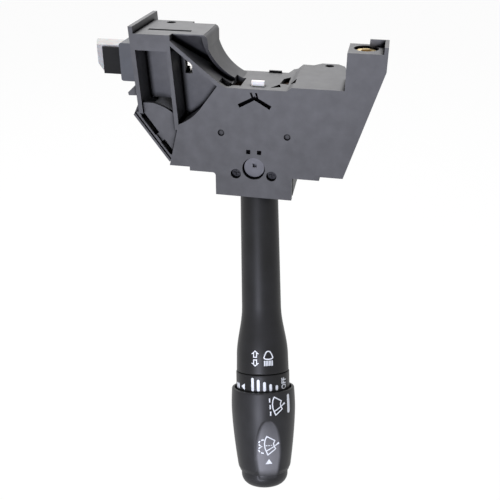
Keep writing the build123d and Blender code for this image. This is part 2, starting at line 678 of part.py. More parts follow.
def screw_y(x, z, y_head, length, towards):
    """A pan-head screw along Y; towards is the way its shank points."""
    head = rod_y(x, z, SCREW_HEAD_R, min(y_head, y_head - towards * SCREW_HEAD_T),
                 max(y_head, y_head - towards * SCREW_HEAD_T))
    shank = rod_y(x, z, SCREW_R, min(y_head, y_head + towards * length),
                  max(y_head, y_head + towards * length))
    outer_face = y_head - towards * SCREW_HEAD_T
    cross = block(x - 1.5, x + 1.5, outer_face - 0.8, outer_face + 0.8, z - 0.3, z + 0.3)
    cross += block(x - 0.3, x + 0.3, outer_face - 0.8, outer_face + 0.8, z - 1.5, z + 1.5)
    return head + shank - cross


def cover_screws():
    """Four screws that hold the rear cover."""
    pieces = [screw_y(x, z, CASE_D + COVER_T, SCREW_L - 1, -1) for x, z in cover_screw_places()]
    return Compound(children=pieces)


def blades(x, width):
    """Terminal blades of one connector, each through the cover."""
    pieces = [
        block(px - BLADE_W / 2, px + BLADE_W / 2, CASE_D - 3, CASE_D + COVER_T + 9,
              pz - BLADE_T / 2, pz + BLADE_T / 2)
        for px, pz in pin_places(x, width)
    ]
    return Compound(children=pieces)


BOARD_Y = 21.0
BOARD_T = 1.6
BOARD_W = 32.0
BOARD_Z0 = 16.5
PILLAR_X = 14.0
PILLAR_R = 1.8


def contact_board():
    """Insulating board with the turn and hazard tracks, on pillars from the front face."""
    top = FLOOR_Z - WALL_T - 0.3
    board = block(-BOARD_W / 2, BOARD_W / 2, BOARD_Y, BOARD_Y + BOARD_T, BOARD_Z0, top)
    for side in (-1, 1):
        for z in (27.2, 36.0):
            board += rod_y(side * PILLAR_X, z, PILLAR_R, PLATE_T, BOARD_Y)
    return board


def board_contacts():
    """Fixed contact tracks riveted on the board."""
    pieces = []
    for row in range(3):
        x = -8.0 + 8.0 * row
        pieces.append(block(x - 2.4, x + 2.4, BOARD_Y - 0.25, BOARD_Y, 17.0, 23.0))
    pieces.append(block(-11.0, 11.0, BOARD_Y - 0.25, BOARD_Y, 25.0, 27.0))
    return Compound(children=pieces)


# Front bearing, carrier and detent

def front_bearing():
    """Flanged bush behind the front face, screwed on from the front."""
    flange = prism(
        outline((-15, -9), (15, -9), (15, 1.5), (5.2, 11.4), (-5.2, 11.4), (-15, 1.5)),
        PLATE_T, PLATE_T + BEARING_T,
    )
    body = flange + rod_y(0, 0, TRUNNION_R + COLLAR_WALL, PLATE_T, PLATE_T + COLLAR_L)
    for side in (-1, 1):
        body -= rod_y(side * BEARING_SCREW_X, BEARING_SCREW_Z, WELL_BOSS_R + 0.1, PLATE_T - 1, WELL_BOSS_Y)
        body += rod_y(side * BEARING_SCREW_X, BEARING_SCREW_Z, WELL_BOSS_R, WELL_BOSS_Y, PLATE_T + COLLAR_L)
        body += block(
            side * WINDOW_X - WINDOW_A / 2 + 0.1, side * WINDOW_X + WINDOW_A / 2 - 0.1,
            PLATE_T - 1.2, PLATE_T, WINDOW_Z - WINDOW_A / 2 + 0.1, WINDOW_Z + WINDOW_A / 2 - 0.1,
        )
        body -= rod_y(side * BEARING_SCREW_X, BEARING_SCREW_Z, SCREW_R + SCREW_CLEAR, 0, CASE_D)
    return body - rod_y(0, 0, TRUNNION_R + RUN_CLEAR, 0, CASE_D)


def bearing_screws():
    """Two screws whose heads sit in the wells of the front face."""
    pieces = []
    for side in (-1, 1):
        pieces.append(screw_y(side * BEARING_SCREW_X, BEARING_SCREW_Z, BEARING_SEAT_Y, BEARING_SCREW_L, 1))
    return Compound(children=pieces)


WEB_FRONT_Y = PLATE_T + COLLAR_L + 0.5
WEB_BACK_Y = LEVER_Y + BARREL_R + 0.5


def turn_carrier():
    """Carrier that turns about Y and holds the dip hinge."""
    wide = CHEEK_IN + CHEEK_T
    back_end = CASE_D - 0.4
    body = block(-wide, wide, WEB_FRONT_Y, back_end, CHEEK_Z0, CHEEK_Z1)
    body -= block(-CHEEK_IN, CHEEK_IN, WEB_FRONT_Y + WEB_T, WEB_BACK_Y, CHEEK_Z0 - 1, CHEEK_Z1 + 1)
    body += rod_y(0, 0, TRUNNION_R, PIVOT_SINK, WEB_FRONT_Y + 0.5)
    body -= block(KEY_X - KEY_W / 2, KEY_X + KEY_W / 2, 0, PIVOT_SINK + KEY_D,
                  KEY_Z - KEY_W / 2, KEY_Z + KEY_W / 2)
    body += rod_y(0, 0, REAR_TRUNNION_R, WEB_BACK_Y + 0.5, CASE_D + COVER_T + 1.0)
    body += block(-TOWER_A, TOWER_A, WEB_FRONT_Y, TOWER_Y + TOWER_A, CHEEK_Z1 - 5, TOWER_TOP)
    body -= block(-CHEEK_IN, CHEEK_IN, WEB_FRONT_Y + WEB_T, TOWER_Y + TOWER_A + 1, CHEEK_Z0 - 1, CHEEK_Z1 - 5)
    body -= rod_z(0, TOWER_Y, PLUNGER_R + RUN_CLEAR, CHEEK_Z1 - 2, TOWER_TOP + 1)
    body += rod_y(0, DRIVE_Z, DRIVE_R, TOWER_Y + TOWER_A - 0.5, TOWER_Y + TOWER_A + 3.4)
    body -= rod_x(LEVER_Y, 0, BEAM_PIN_R + 0.02, -wide - 1, wide + 1)
    return body


def beam_pin():
    """Steel hinge pin of the dip and flash motion."""
    wide = CHEEK_IN + CHEEK_T
    return rod_x(LEVER_Y, 0, BEAM_PIN_R, -wide, wide)


def detent_plunger():
    """Round-nosed detent plunger in the carrier's tower."""
    body = rod_z(0, TOWER_Y, PLUNGER_R, CHEEK_Z1 + 3.5, PLUNGER_TOP - PLUNGER_R)
    return body + Pos(0, TOWER_Y, PLUNGER_TOP - PLUNGER_R) * Sphere(PLUNGER_R)


def detent_spring():
    """Spring under the detent plunger."""
    return Pos(0, TOWER_Y, CHEEK_Z1 - 1.9) * coil(1.4, 0.3, 5.3, 4)


def detent_cam():
    """Cam track over the plunger, carried by the front face."""
    outer = block(-12.0, 12.0, PLATE_T, TOWER_Y + 3.0, PLUNGER_TOP - 2.2, PLUNGER_TOP + 4.6)
    sweep_cut = rod_y(0, 0, PLUNGER_TOP + 0.3, 0, CASE_D)
    body = outer - sweep_cut
    for angle in (-TURN_LIMIT, 0, TURN_LIMIT):
        notch = rod_y(0, PLUNGER_TOP - 0.9, 1.9, PLATE_T + 2, TOWER_Y + 4)
        body -= Rot(0, angle, 0) * notch
    body -= block(-8.0, 8.0, PLATE_T - 1, WEB_FRONT_Y + 1.5, 0, TOWER_TOP + 1.0)
    return body


def turn_slide():
    """Contact slide that the carrier's drive pin moves from side to side."""
    y0 = TOWER_Y + TOWER_A + 0.4
    body = block(-SLIDE_W / 2, SLIDE_W / 2, y0, y0 + SLIDE_T, DRIVE_Z + 1.0, DRIVE_Z + 1.0 + SLIDE_H)
    body += block(-4.0, 4.0, y0, y0 + SLIDE_T, DRIVE_Z - 2.5, DRIVE_Z + 2.0)
    slot = DRIVE_R + 0.1
    return body - block(-slot, slot, 0, CASE_D, DRIVE_Z - 5, DRIVE_Z + 2.2)


def slide_contacts():
    """Sprung copper bridges on the turn slide."""
    y0 = TOWER_Y + TOWER_A + 0.4 + SLIDE_T
    pieces = []
    for x in (-7.0, 7.0):
        pieces.append(block(x - 1.6, x + 1.6, y0, y0 + 0.5, DRIVE_Z + 3.4, DRIVE_Z + 8.4))
    return Compound(children=pieces)


# Lever

def lever_root():
    """Root of the lever: hinge barrel, neck, spigot for the stalk and contact tail."""
    barrel = rod_x(LEVER_Y, 0, BARREL_R, -CHEEK_IN + SIDE_GAP, CHEEK_IN - SIDE_GAP)
    neck = Pos(0, 0, (NECK_T0 + STALK_T0 - 1) / 2) * Cylinder(NECK_R, STALK_T0 - 1 - NECK_T0)
    shoulder = tube(STALK_R - 0.6, 2.0, STALK_T0 - 2.0, STALK_T0)
    spigot = Pos(0, 0, STALK_T0 - 1 + SPIGOT_L / 2) * Cylinder(STALK_BORE_R - RUN_CLEAR, SPIGOT_L)
    body = barrel + LEVER * (neck + shoulder + spigot)
    core_l = TUBE_INSET + 3 + SPIGOT_L + 3
    body -= LEVER * (Pos(0, 0, STALK_T0 - TUBE_INSET - 3 + core_l / 2) * Cylinder(TUBE_R + 0.1, core_l))
    body += block(-2.0, 2.0, LEVER_Y - 1.6, LEVER_Y + 1.6, 2.0, 12.4)
    return body - rod_x(LEVER_Y, 0, BEAM_PIN_R + RUN_CLEAR, -2 * CHEEK_IN, 2 * CHEEK_IN)


def beam_slide():
    """Dip contact slide on top of the carrier, moved by the lever's tail."""
    wide = CHEEK_IN + CHEEK_T
    body = block(-wide, wide, LEVER_Y - 3.4, LEVER_Y + 3.4, CHEEK_Z1 + 0.1, CHEEK_Z1 + 2.6)
    return body - block(-2.4, 2.4, LEVER_Y - 1.95, LEVER_Y + 1.95, CHEEK_Z1 - 1, CHEEK_Z1 + 4)


def stalk():
    """Tapered outer stalk with its flared end."""
    outer = [
        Line((STALK_BORE_R, STALK_T0), (STALK_R - 0.4, STALK_T0)),
        Line((STALK_R - 0.4, STALK_T0), (STALK_R, STALK_T0 + 1.0)),
        Line((STALK_R, STALK_T0 + 1.0), (STALK_R + 0.5, FLARE_T0)),
        Spline(
            (STALK_R + 0.5, FLARE_T0),
            ((STALK_R + 0.5 + FLARE_R) / 2, (FLARE_T0 + FLARE_T1) / 2 - 0.6),
            (FLARE_R, FLARE_T1),
            tangents=[(0.008, 1), (0.03, 1)],
        ),
        Line((FLARE_R, FLARE_T1), (FLARE_R + 0.2, RING_T0 - 0.4)),
        Line((FLARE_R + 0.2, RING_T0 - 0.4), (FLARE_R - 0.2, RING_T0)),
        Line((FLARE_R - 0.2, RING_T0), (STALK_BORE_R, RING_T0)),
        Line((STALK_BORE_R, RING_T0), (STALK_BORE_R, STALK_T0)),
    ]
    return LEVER * revolve(Plane.XZ * make_face(outer), axis=Axis.Z)


def marker_ring():
    """Marker ring at the end of the stalk and the core on which the knob turns."""
    ring = tube(RING_R, CORE_BORE_R, RING_T0, RING_T1)
    spigot = tube(STALK_BORE_R - RUN_CLEAR, CORE_BORE_R - 0.6, RING_T0 - 12, RING_T0 + 0.1)
    core = tube(CORE_R, CORE_BORE_R, RING_T1, CORE_T1)
    step = tube(RING_R + 1, RING_R - 0.5, RING_T0 - 1, RING_T0 + 1.6)
    clip_groove = tube(CORE_R + 1, CORE_R - 0.8, CORE_T1 - 3.0, CORE_T1 - 1.8)
    return LEVER * (ring + spigot + core - step - clip_groove)


def stalk_tube():
    """Steel tube that stiffens the stalk."""
    return LEVER * tube(TUBE_R, TUBE_BORE_R, STALK_T0 - TUBE_INSET, RING_T0 - TUBE_INSET / 2)


def stalk_leads():
    """Insulated leads from the lever's contacts, inside the tube."""
    pieces = []
    for turn in range(3):
        angle = math.radians(120 * turn)
        place = Pos(1.2 * math.cos(angle), 1.2 * math.sin(angle), (STALK_T0 + RING_T1) / 2)
        pieces.append(LEVER * place * Cylinder(0.8, RING_T1 - STALK_T0))
    return Compound(children=pieces)


def wiper_board():
    """Ring board with the wiper speed tracks, behind the marker ring."""
    return LEVER * tube(13.6, CORE_R + 0.1, RING_T1, RING_T1 + 1.2)


def washer_contact():
    """Leaf contact that the washer button's stem presses."""
    return LEVER * tube(CORE_BORE_R - 0.1, 1.0, 150.0, 151.2)


# Wiper knob and washer button

KNOB_BEARING_T0 = 140.0
KNOB_BEARING_T1 = CORE_T1 - 3.2


def wiper_knob():
    """Rotating sleeve knob."""
    shoulder_t = KNOB_T1 - 2.6
    face = make_face([
        Line((KNOB_RIM_R - 1.4, KNOB_T0), (KNOB_RIM_R - 0.4, KNOB_T0)),
        Line((KNOB_RIM_R - 0.4, KNOB_T0), (KNOB_RIM_R, KNOB_T0 + 0.6)),
        Spline(
            (KNOB_RIM_R, KNOB_T0 + 0.6), (KNOB_MAX_R, 139.0), (16.3, 157.6), (KNOB_END_R + 0.2, shoulder_t),
            tangents=[(0.08, 1), (-0.2, 1)],
        ),
        ThreePointArc(
            (KNOB_END_R + 0.2, shoulder_t), (KNOB_END_R - 0.3, KNOB_T1 - 0.9), (CAP_R + 0.5, KNOB_T1)
        ),
        Line((CAP_R + 0.5, KNOB_T1), (CAP_R + RUN_CLEAR, KNOB_T1)),
        Line((CAP_R + RUN_CLEAR, KNOB_T1), (CAP_R + RUN_CLEAR, KNOB_BEARING_T1)),
        Line((CAP_R + RUN_CLEAR, KNOB_BEARING_T1), (CORE_R + RUN_CLEAR, KNOB_BEARING_T1)),
        Line((CORE_R + RUN_CLEAR, KNOB_BEARING_T1), (CORE_R + RUN_CLEAR, KNOB_BEARING_T0)),
        Line((CORE_R + RUN_CLEAR, KNOB_BEARING_T0), (KNOB_RIM_R - 1.8, KNOB_BEARING_T0)),
        Line((KNOB_RIM_R - 1.8, KNOB_BEARING_T0), (KNOB_RIM_R - 1.4, KNOB_T0)),
    ])
    return LEVER * revolve(Plane.XZ * face, axis=Axis.Z)


def wiper_rotor():
    """Wiper contact disc that turns with the knob."""
    return LEVER * tube(13.0, CORE_R + 0.2, KNOB_BEARING_T0 - 1.0, KNOB_BEARING_T0)


def knob_click_spring():
    """Sprung click ring between the rotor and the board."""
    return LEVER * tube(12.4, CORE_R + 0.6, KNOB_BEARING_T0 - 1.8, KNOB_BEARING_T0 - 1.0)


def knob_clip():
    """Retaining clip that keeps the knob on the core."""
    ring = tube(CORE_R + 1.4, CORE_R - 0.7, CORE_T1 - 2.9, CORE_T1 - 1.9)
    gap = Pos(CORE_R, 0, CORE_T1 - 2.4) * Box(6, 3.6, 4)
    return LEVER * (ring - gap)


def washer_button():
    """Push cap in the end of the knob, with a stem down the core."""
    skirt_t = KNOB_T1 - CAP_SKIRT
    body = Pos(0, 0, (skirt_t + CAP_T1) / 2) * Cylinder(CAP_R, CAP_T1 - skirt_t)
    rim = body.edges().filter_by(GeomType.CIRCLE).sort_by(Axis.Z)[-1]
    body = fillet(rim, 6.0)
    room_t = CAP_T1 - CAP_WALL - 3
    body -= Pos(0, 0, (skirt_t + room_t) / 2) * Cylinder(CAP_R - CAP_WALL, room_t - skirt_t)
    stem_t = 152.0 + WASHER_TRAVEL
    body += Pos(0, 0, (stem_t + CAP_T1 - 3) / 2) * Cylinder(CAP_STEM_R, CAP_T1 - 3 - stem_t)
    return LEVER * body


def washer_spring():
    """Return spring of the washer button, on the core's end."""
    top = CAP_T1 - CAP_WALL - 3
    return LEVER * Pos(0, 0, CORE_T1) * coil(6.6, 0.5, top - CORE_T1, 4)


# Hazard button

def hazard_guide():
    """Rectangular sleeve on the left wall that guides the hazard button."""
    clear = GUIDE_CLEAR
    wall = clear + GUIDE_WALL
    low = HAZARD_Z0 - wall - 0.8
    high = HAZARD_Z1 + wall
    body = prism(
        outline((GUIDE_X0, low), (left_wall_x(low), low), (left_wall_x(high), high), (GUIDE_X0, high)),
        HAZARD_Y0 - wall, HAZARD_Y1 + wall,
    )
    edges = body.edges().filter_by(Axis.Y).group_by(Axis.X)[0]
    body = fillet(edges, GUIDE_WALL - 0.5)
    body -= block(GUIDE_X0 - 1, GUIDE_FLOOR_X, HAZARD_Y0 - clear, HAZARD_Y1 + clear,
                  HAZARD_Z0 - clear, HAZARD_Z1 + clear)
    body -= block(GUIDE_FLOOR_X - 1, FRAME_X0 + 2, NECK_Y0 - clear, NECK_Y1 + clear,
                  NECK_Z0 - clear, NECK_Z1 + clear)
    return body


def hazard_plunger():
    """Light grey push slider: the block in the sleeve and the neck into the housing."""
    front = HAZARD_Y0 + HAZARD_PANEL_T
    plan = Plane.XY.offset(HAZARD_Z0) * make_face(Polyline(
        (HAZARD_X0, front), (HAZARD_X1, front), (HAZARD_X1, HAZARD_Y1), (HAZARD_BACK_X0, HAZARD_Y1),
        (HAZARD_BACK_X0, HAZARD_Y1 - 1.6), close=True,
    ))
    head = extrude(plan, amount=HAZARD_Z1 - HAZARD_Z0)
    profile = outline(
        (HAZARD_BACK_X0 - 1, HAZARD_Z0 + 4.6), (HAZARD_X0, HAZARD_Z0 + 4.6), (HAZARD_X0 + 3.3, HAZARD_Z0),
        (HAZARD_X1, HAZARD_Z0), (HAZARD_X1, HAZARD_Z1), (HAZARD_BACK_X0 - 1, HAZARD_Z1),
    )
    head &= prism(profile, HAZARD_Y0, HAZARD_Y1)
    neck = block(HAZARD_X1 - 1, NECK_X1, NECK_Y0, NECK_Y1, NECK_Z0, NECK_Z1)
    return head + neck


def hazard_cap():
    """Black front panel of the hazard button."""
    return block(HAZARD_PANEL_X0, HAZARD_X1, HAZARD_Y0, HAZARD_Y0 + HAZARD_PANEL_T,
                 HAZARD_Z0, HAZARD_Z1 - HAZARD_PANEL_DROP)


def hazard_spring():
    """Return spring behind the hazard slider's neck."""
    spring = Rot(0, 90, 0) * coil(2.0, 0.4, HAZARD_SPRING_L, 5)
    return Pos(NECK_X1, (NECK_Y0 + NECK_Y1) / 2, (NECK_Z0 + NECK_Z1) / 2) * spring


def hazard_contact():
    """Copper wiper on the back of the hazard slider."""
    return block(NECK_X1 - 5, NECK_X1 - 1, NECK_Y1, NECK_Y1 + 0.6, NECK_Z0 + 1, NECK_Z1 - 1)


# Cancelling finger

def cancel_finger():
    """White cancelling finger that stands up through the saddle floor."""
    half = FINGER_W / 2
    blade = block(FINGER_X - half, FINGER_X + half, FINGER_Y, FINGER_Y + FINGER_T, 31.0, FLOOR_Z + FINGER_H)
    foot = block(FINGER_X - half - 1.2, FINGER_X + half + 1.2, FINGER_Y, FINGER_Y + FINGER_T, 30.0, 36.0)
    return blade + foot


def pawl_frame():
    """Grey frame under the saddle floor that carries the cancelling finger."""
    top = FLOOR_Z - WALL_T
    body = block(-9.5, 10.9, 2.6, 9.4, 24.6, top)
    gap = FINGER_CLEAR
    wide = FINGER_W / 2 + 1.2 + gap
    body -= block(FINGER_X - wide, FINGER_X + wide, FINGER_Y - gap, FINGER_Y + FINGER_T + gap, 26.0, top + 1)
    return body


def cancel_spring():
    """Spring under the cancelling finger."""
    return Pos(FINGER_X, FINGER_Y + FINGER_T / 2, 26.0) * coil(0.7, 0.2, 4.0, 5)


def bay_terminal():
    """Tinned spring terminal seen through the window of the second bay."""
    y0 = BAY_Y + BAY_FLOOR_T
    back = y0 + CHAMBER_D
    body = block(CHAMBER_X0 + 1.0, CHAMBER_X1 - 1.0, back - TERMINAL_T, back, CHAMBER_Z0, CHAMBER_Z1)
    arm_x0 = CHAMBER_X0 + 1.6
    arm_x1 = CHAMBER_X1 - 1.6
    arm_z = CHAMBER_Z1 - 3.0
    body += block(arm_x0, arm_x1, y0 - TERMINAL_T, back, arm_z - TERMINAL_T, arm_z)
    return body + block(arm_x0, arm_x1, y0 - TERMINAL_T, y0, arm_z - 2.2, arm_z)


PIECES = {
    "housing": housing,
    "rear_cover": rear_cover,
    "cover_screws": cover_screws,
    "post_insert": post_insert,
    "front_bearing": front_bearing,
    "bearing_screws": bearing_screws,
    "contact_board": contact_board,
    "board_contacts": board_contacts,
    "wide_connector_blades": lambda: blades(WIDE_X, WIDE_W),
    "narrow_connector_blades": lambda: blades(NARROW_X, NARROW_W),
    "detent_cam": detent_cam,
    "hazard_guide": hazard_guide,
    "pawl_frame": pawl_frame,
    "bay_terminal": bay_terminal,
    "turn_carrier": turn_carrier,
    "beam_pin": beam_pin,
    "detent_plunger": detent_plunger,
    "detent_spring": detent_spring,
    "turn_slide": turn_slide,
    "slide_contacts": slide_contacts,
    "beam_slide": beam_slide,
    "lever_root": lever_root,
    "stalk": stalk,
    "marker_ring": marker_ring,
    "stalk_tube": stalk_tube,
    "stalk_leads": stalk_leads,
    "wiper_board": wiper_board,
    "washer_contact": washer_contact,
    "wiper_knob": wiper_knob,
    "wiper_rotor": wiper_rotor,
    "knob_click_spring": knob_click_spring,
    "knob_clip": knob_clip,
    "washer_button": washer_button,
    "washer_spring": washer_spring,
    "hazard_plunger": hazard_plunger,
    "hazard_cap": hazard_cap,
    "hazard_spring": hazard_spring,
    "hazard_contact": hazard_contact,
    "cancel_finger": cancel_finger,
    "cancel_spring": cancel_spring,
}

os.makedirs("parts", exist_ok=True)
for name, make in PIECES.items():
    save(name, make())
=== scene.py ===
# %% [markdown]
# # Combination stalk switch
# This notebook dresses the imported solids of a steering-column switch: a moulded housing with a
# round saddle, a lever with a rotary knob, and a hazard push button at the left. The solids stay
# where they are. Smooth turned forms, springs that give, printed symbols and every surface
# finish are made here.

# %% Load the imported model
import math

import bmesh
import bpy
from mathutils import Matrix, Vector


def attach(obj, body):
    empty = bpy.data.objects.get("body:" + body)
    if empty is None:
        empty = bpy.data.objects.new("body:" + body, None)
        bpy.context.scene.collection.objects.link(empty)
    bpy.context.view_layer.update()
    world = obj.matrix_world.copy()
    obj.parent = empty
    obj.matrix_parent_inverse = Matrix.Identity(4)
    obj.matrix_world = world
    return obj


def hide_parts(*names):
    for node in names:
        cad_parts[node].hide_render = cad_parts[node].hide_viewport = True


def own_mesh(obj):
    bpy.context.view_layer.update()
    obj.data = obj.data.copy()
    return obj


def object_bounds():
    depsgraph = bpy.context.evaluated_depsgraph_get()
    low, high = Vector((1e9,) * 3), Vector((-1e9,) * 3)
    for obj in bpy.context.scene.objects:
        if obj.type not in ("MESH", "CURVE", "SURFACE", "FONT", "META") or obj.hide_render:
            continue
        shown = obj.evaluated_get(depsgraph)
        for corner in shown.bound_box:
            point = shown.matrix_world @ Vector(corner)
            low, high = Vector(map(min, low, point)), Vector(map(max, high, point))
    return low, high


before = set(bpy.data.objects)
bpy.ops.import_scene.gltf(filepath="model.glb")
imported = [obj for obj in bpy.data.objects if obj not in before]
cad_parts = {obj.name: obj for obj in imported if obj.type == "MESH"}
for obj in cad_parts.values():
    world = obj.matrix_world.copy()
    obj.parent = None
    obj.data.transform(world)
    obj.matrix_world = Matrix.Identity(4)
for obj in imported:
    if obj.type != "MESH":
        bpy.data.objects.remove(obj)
cad_bounds = [[float(c) for c in corner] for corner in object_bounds()]
print("nodes:", len(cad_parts))

# %% [markdown]
# ## Units and the drawing frame
# Blender works in metres, but a switch is drawn in millimetres, so one value turns one into the
# other. The designer drew the housing from the point where the lever's turning axis meets the
# front face, and the part's own origin is the brass insert in the post. `at` takes a place on the
# drawing and gives it in the part's frame.

# %% Millimetres and places on the drawing
MM = 0.001
PIVOT_TO_INSERT = Vector((51.6, 11.0, 60.0))


def at(x, y, z):
    """A drawing place in millimetres, as metres in the part's frame."""
    return (Vector((x, y, z)) - PIVOT_TO_INSERT) * MM


size_mm = [(high - low) / MM for low, high in zip(*cad_bounds)]
print("overall size in mm:", [round(side, 1) for side in size_mm])

# %% [markdown]
# ## Camera
# The photograph looks down at the switch from above and a little from the right, with a normal
# lens. The lens and the tilt were found from the parallel edges of the housing. A camera in
# Blender looks along its own -Z, so it is first tipped up from looking straight down, then
# turned about the vertical. The roll of a third of a degree comes from the picture too.

# %% Set the camera
LENS_MM = 50.4
SENSOR_MM = 36.0
CAMERA_PLACE = (61.0, -327.1, 139.5)
CAMERA_TILT = math.radians(60.65)
CAMERA_TURN = math.radians(10.83)
CAMERA_ROLL = math.radians(0.33)
CLIP_START_MM = 10.0

camera_data = bpy.data.cameras.new("camera")
camera_data.lens = LENS_MM
camera_data.sensor_width = SENSOR_MM
camera_data.clip_start = CLIP_START_MM * MM
camera = bpy.data.objects.new("camera", camera_data)
bpy.context.scene.collection.objects.link(camera)
camera.matrix_world = (
    Matrix.Translation(at(*CAMERA_PLACE))
    @ Matrix.Rotation(CAMERA_TURN, 4, "Z")
    @ Matrix.Rotation(CAMERA_TILT, 4, "X")
    @ Matrix.Rotation(CAMERA_ROLL, 4, "Z")
)
bpy.context.scene.camera = camera
print("camera at", [round(c, 4) for c in camera.location])

# %% [markdown]
# ## Colours and nodes
# Colours are read from a screen as sRGB, and a renderer adds light in linear values. One function
# makes the change. A second one adds a shader node, sets its inputs and links it, which is all
# that the materials and the world below need.

# %% Colour and node helpers
def linear(code):
    """A hex sRGB colour as linear red, green, blue and alpha, by the sRGB curve."""
    channels = [int(code[i:i + 2], 16) / 255 for i in (1, 3, 5)]
    return tuple(c / 12.92 if c <= 0.04045 else ((c + 0.055) / 1.055) ** 2.4
                 for c in channels) + (1.0,)


def add(owner, kind, inputs=None, **settings):
    """Adds a node to a material or world; an input is a value or another node's output."""
    tree = owner.node_tree
    made = tree.nodes.new("ShaderNode" + kind)
    for key, value in settings.items():
        setattr(made, key, value)
    for key, value in (inputs or {}).items():
        if isinstance(value, bpy.types.NodeSocket):
            tree.links.new(value, made.inputs[key])
        else:
            made.inputs[key].default_value = value
    return made


def start(name, **constants):
    """A new material and its main shader, with constants set on the shader's own sockets."""
    material = bpy.data.materials.new(name)
    material.use_nodes = True
    shader = material.node_tree.nodes["Principled BSDF"]
    for key, value in constants.items():
        shader.inputs[key.replace("_", " ")].default_value = value
    return material, shader


def join(owner, output, node, socket):
    """Feeds a node's socket from another node's output."""
    owner.node_tree.links.new(output, node.inputs[socket])


def per(size_mm):
    """Texture scale for a pattern whose grain is this many millimetres."""
    return 1.0 / (size_mm * MM)


print("mid grey in linear light:", [round(c, 3) for c in linear("#808080")[:3]])

# %% [markdown]
# ## Glass-filled nylon
# The housing is polyamide with short glass fibres, moulded in one piece. Fibres come near the
# surface and leave it matt, with a fine texture and long faint flow marks, and handling adds pale
# dusty patches. The plastic is much darker than it looks: most of its grey is the white
# surroundings, mirrored softly by the matt surface, so the base colour is low and the shader's
# reflection adds the rest. Slots and screw wells look black, so shade is painted into them: an
# ambient occlusion node finds places that have a wall within a few millimetres, and there it paints
# the colour nearly black and takes the reflection away. The texture could be real geometry, but a
# grain of a quarter of a millimetre would need millions of faces, so it is a bump, while every
# visible edge is real. The grain is drawn at 0.5 mm, about twice the real one, so that it shows
# at this picture size.

# %% Moulded glass-filled nylon
GRAIN_MM, FLOW_MM, DUST_MM = 0.5, 22.0, 6.0
FLOW_STRETCH = (1.0, 1.0, 0.45)
SLOT_MM = 3.0
# Painted shade: slots and wells get this near-black colour where a wall is near.
SLOT_PAINTED_SHADE = "#070708"
SHADED_OPENNESS, UNSHADED_OPENNESS = 0.62, 0.95
NYLON_SPECULAR = 0.5
NYLON_ROUGHNESS = 0.5
NYLON_RELIEF_MM = 0.05


def glass_filled_nylon(name, dark, pale):
    """Matt moulded nylon between two tones, with flow marks, dust, painted shade in slots and a
    fine grain.
    """
    material, shader = start(name, IOR=1.53)
    place = add(material, "TexCoord").outputs["Object"]
    stretch = add(material, "Mapping", {"Vector": place, "Scale": FLOW_STRETCH})
    flow = add(material, "TexNoise", {"Vector": stretch.outputs["Vector"], "Scale": per(FLOW_MM),
                                      "Detail": 3.0, "Roughness": 0.55})
    dust = add(material, "TexNoise", {"Vector": place, "Scale": per(DUST_MM), "Detail": 5.0})
    both = add(material, "Math", {0: flow.outputs["Fac"], 1: dust.outputs["Fac"]}, operation="ADD")
    patches = add(material, "MapRange", {"Value": both.outputs[0], "From Min": 0.8,
                                         "From Max": 1.35})
    tone = add(material, "ValToRGB", {"Fac": patches.outputs[0]})
    tone.color_ramp.elements[0].color = linear(dark)
    tone.color_ramp.elements[1].color = linear(pale)
    # Painted shade: where a wall is within SLOT_MM the colour goes to near black and the reflection
    # fades out.
    open_sky = add(material, "AmbientOcclusion", {"Distance": SLOT_MM * MM}, samples=8)
    unshaded = add(material, "MapRange", {"Value": open_sky.outputs["AO"],
                                       "From Min": SHADED_OPENNESS, "From Max": UNSHADED_OPENNESS})
    painted_shade = add(material, "Mix", {"Factor": unshaded.outputs[0], "A": linear(SLOT_PAINTED_SHADE),
                                   "B": tone.outputs["Color"]}, data_type="RGBA")
    join(material, painted_shade.outputs["Result"], shader, "Base Color")
    shine = add(material, "Math", {0: unshaded.outputs[0], 1: NYLON_SPECULAR}, operation="MULTIPLY")
    join(material, shine.outputs[0], shader, "Specular IOR Level")
    matt = add(material, "MapRange", {"Value": flow.outputs["Fac"],
                                      "From Min": 0.3, "From Max": 0.7,
                                      "To Min": NYLON_ROUGHNESS - 0.05,
                                      "To Max": NYLON_ROUGHNESS + 0.05})
    join(material, matt.outputs[0], shader, "Roughness")
    grain = add(material, "TexNoise", {"Vector": place, "Scale": per(GRAIN_MM), "Detail": 2.0})
    relief = add(material, "Bump", {"Height": grain.outputs["Fac"], "Strength": 0.35,
                                    "Distance": NYLON_RELIEF_MM * MM})
    join(material, relief.outputs["Normal"], shader, "Normal")
    return material


housing_nylon = glass_filled_nylon("moulded glass-filled nylon grey", "#2a2a2d", "#3e3e41")
cover_nylon = glass_filled_nylon("moulded glass-filled nylon dark", "#202022", "#303033")
guide_nylon = glass_filled_nylon("moulded glass-filled nylon blue grey", "#26292f", "#32363d")
lever_nylon = glass_filled_nylon("moulded glass-filled nylon black", "#161617", "#202021")
print("nylon grain scale:", round(per(GRAIN_MM)), "per metre")

# %% [markdown]
# ## Black ABS
# Lever, marker ring and knob are ABS, moulded in a spark-eroded tool. That gives an even satin
# surface: a broad soft highlight and no sharp reflection. ABS has an index of refraction near
# 1.54, and its specular level is set below the usual half, because the pits of the texture trap
# part of the light. The thumb recess of the knob has a painted highlight: the flat of its scoop
# catches the light, so the knob's version of the material fades to two paler tones by a value
# stored on its mesh. The same plastic with a coarser texture makes the panel of the hazard button.

# %% Moulded ABS
FINE_PITS_MM, COARSE_PITS_MM = 0.45, 1.1
WEAR_MM = 14.0


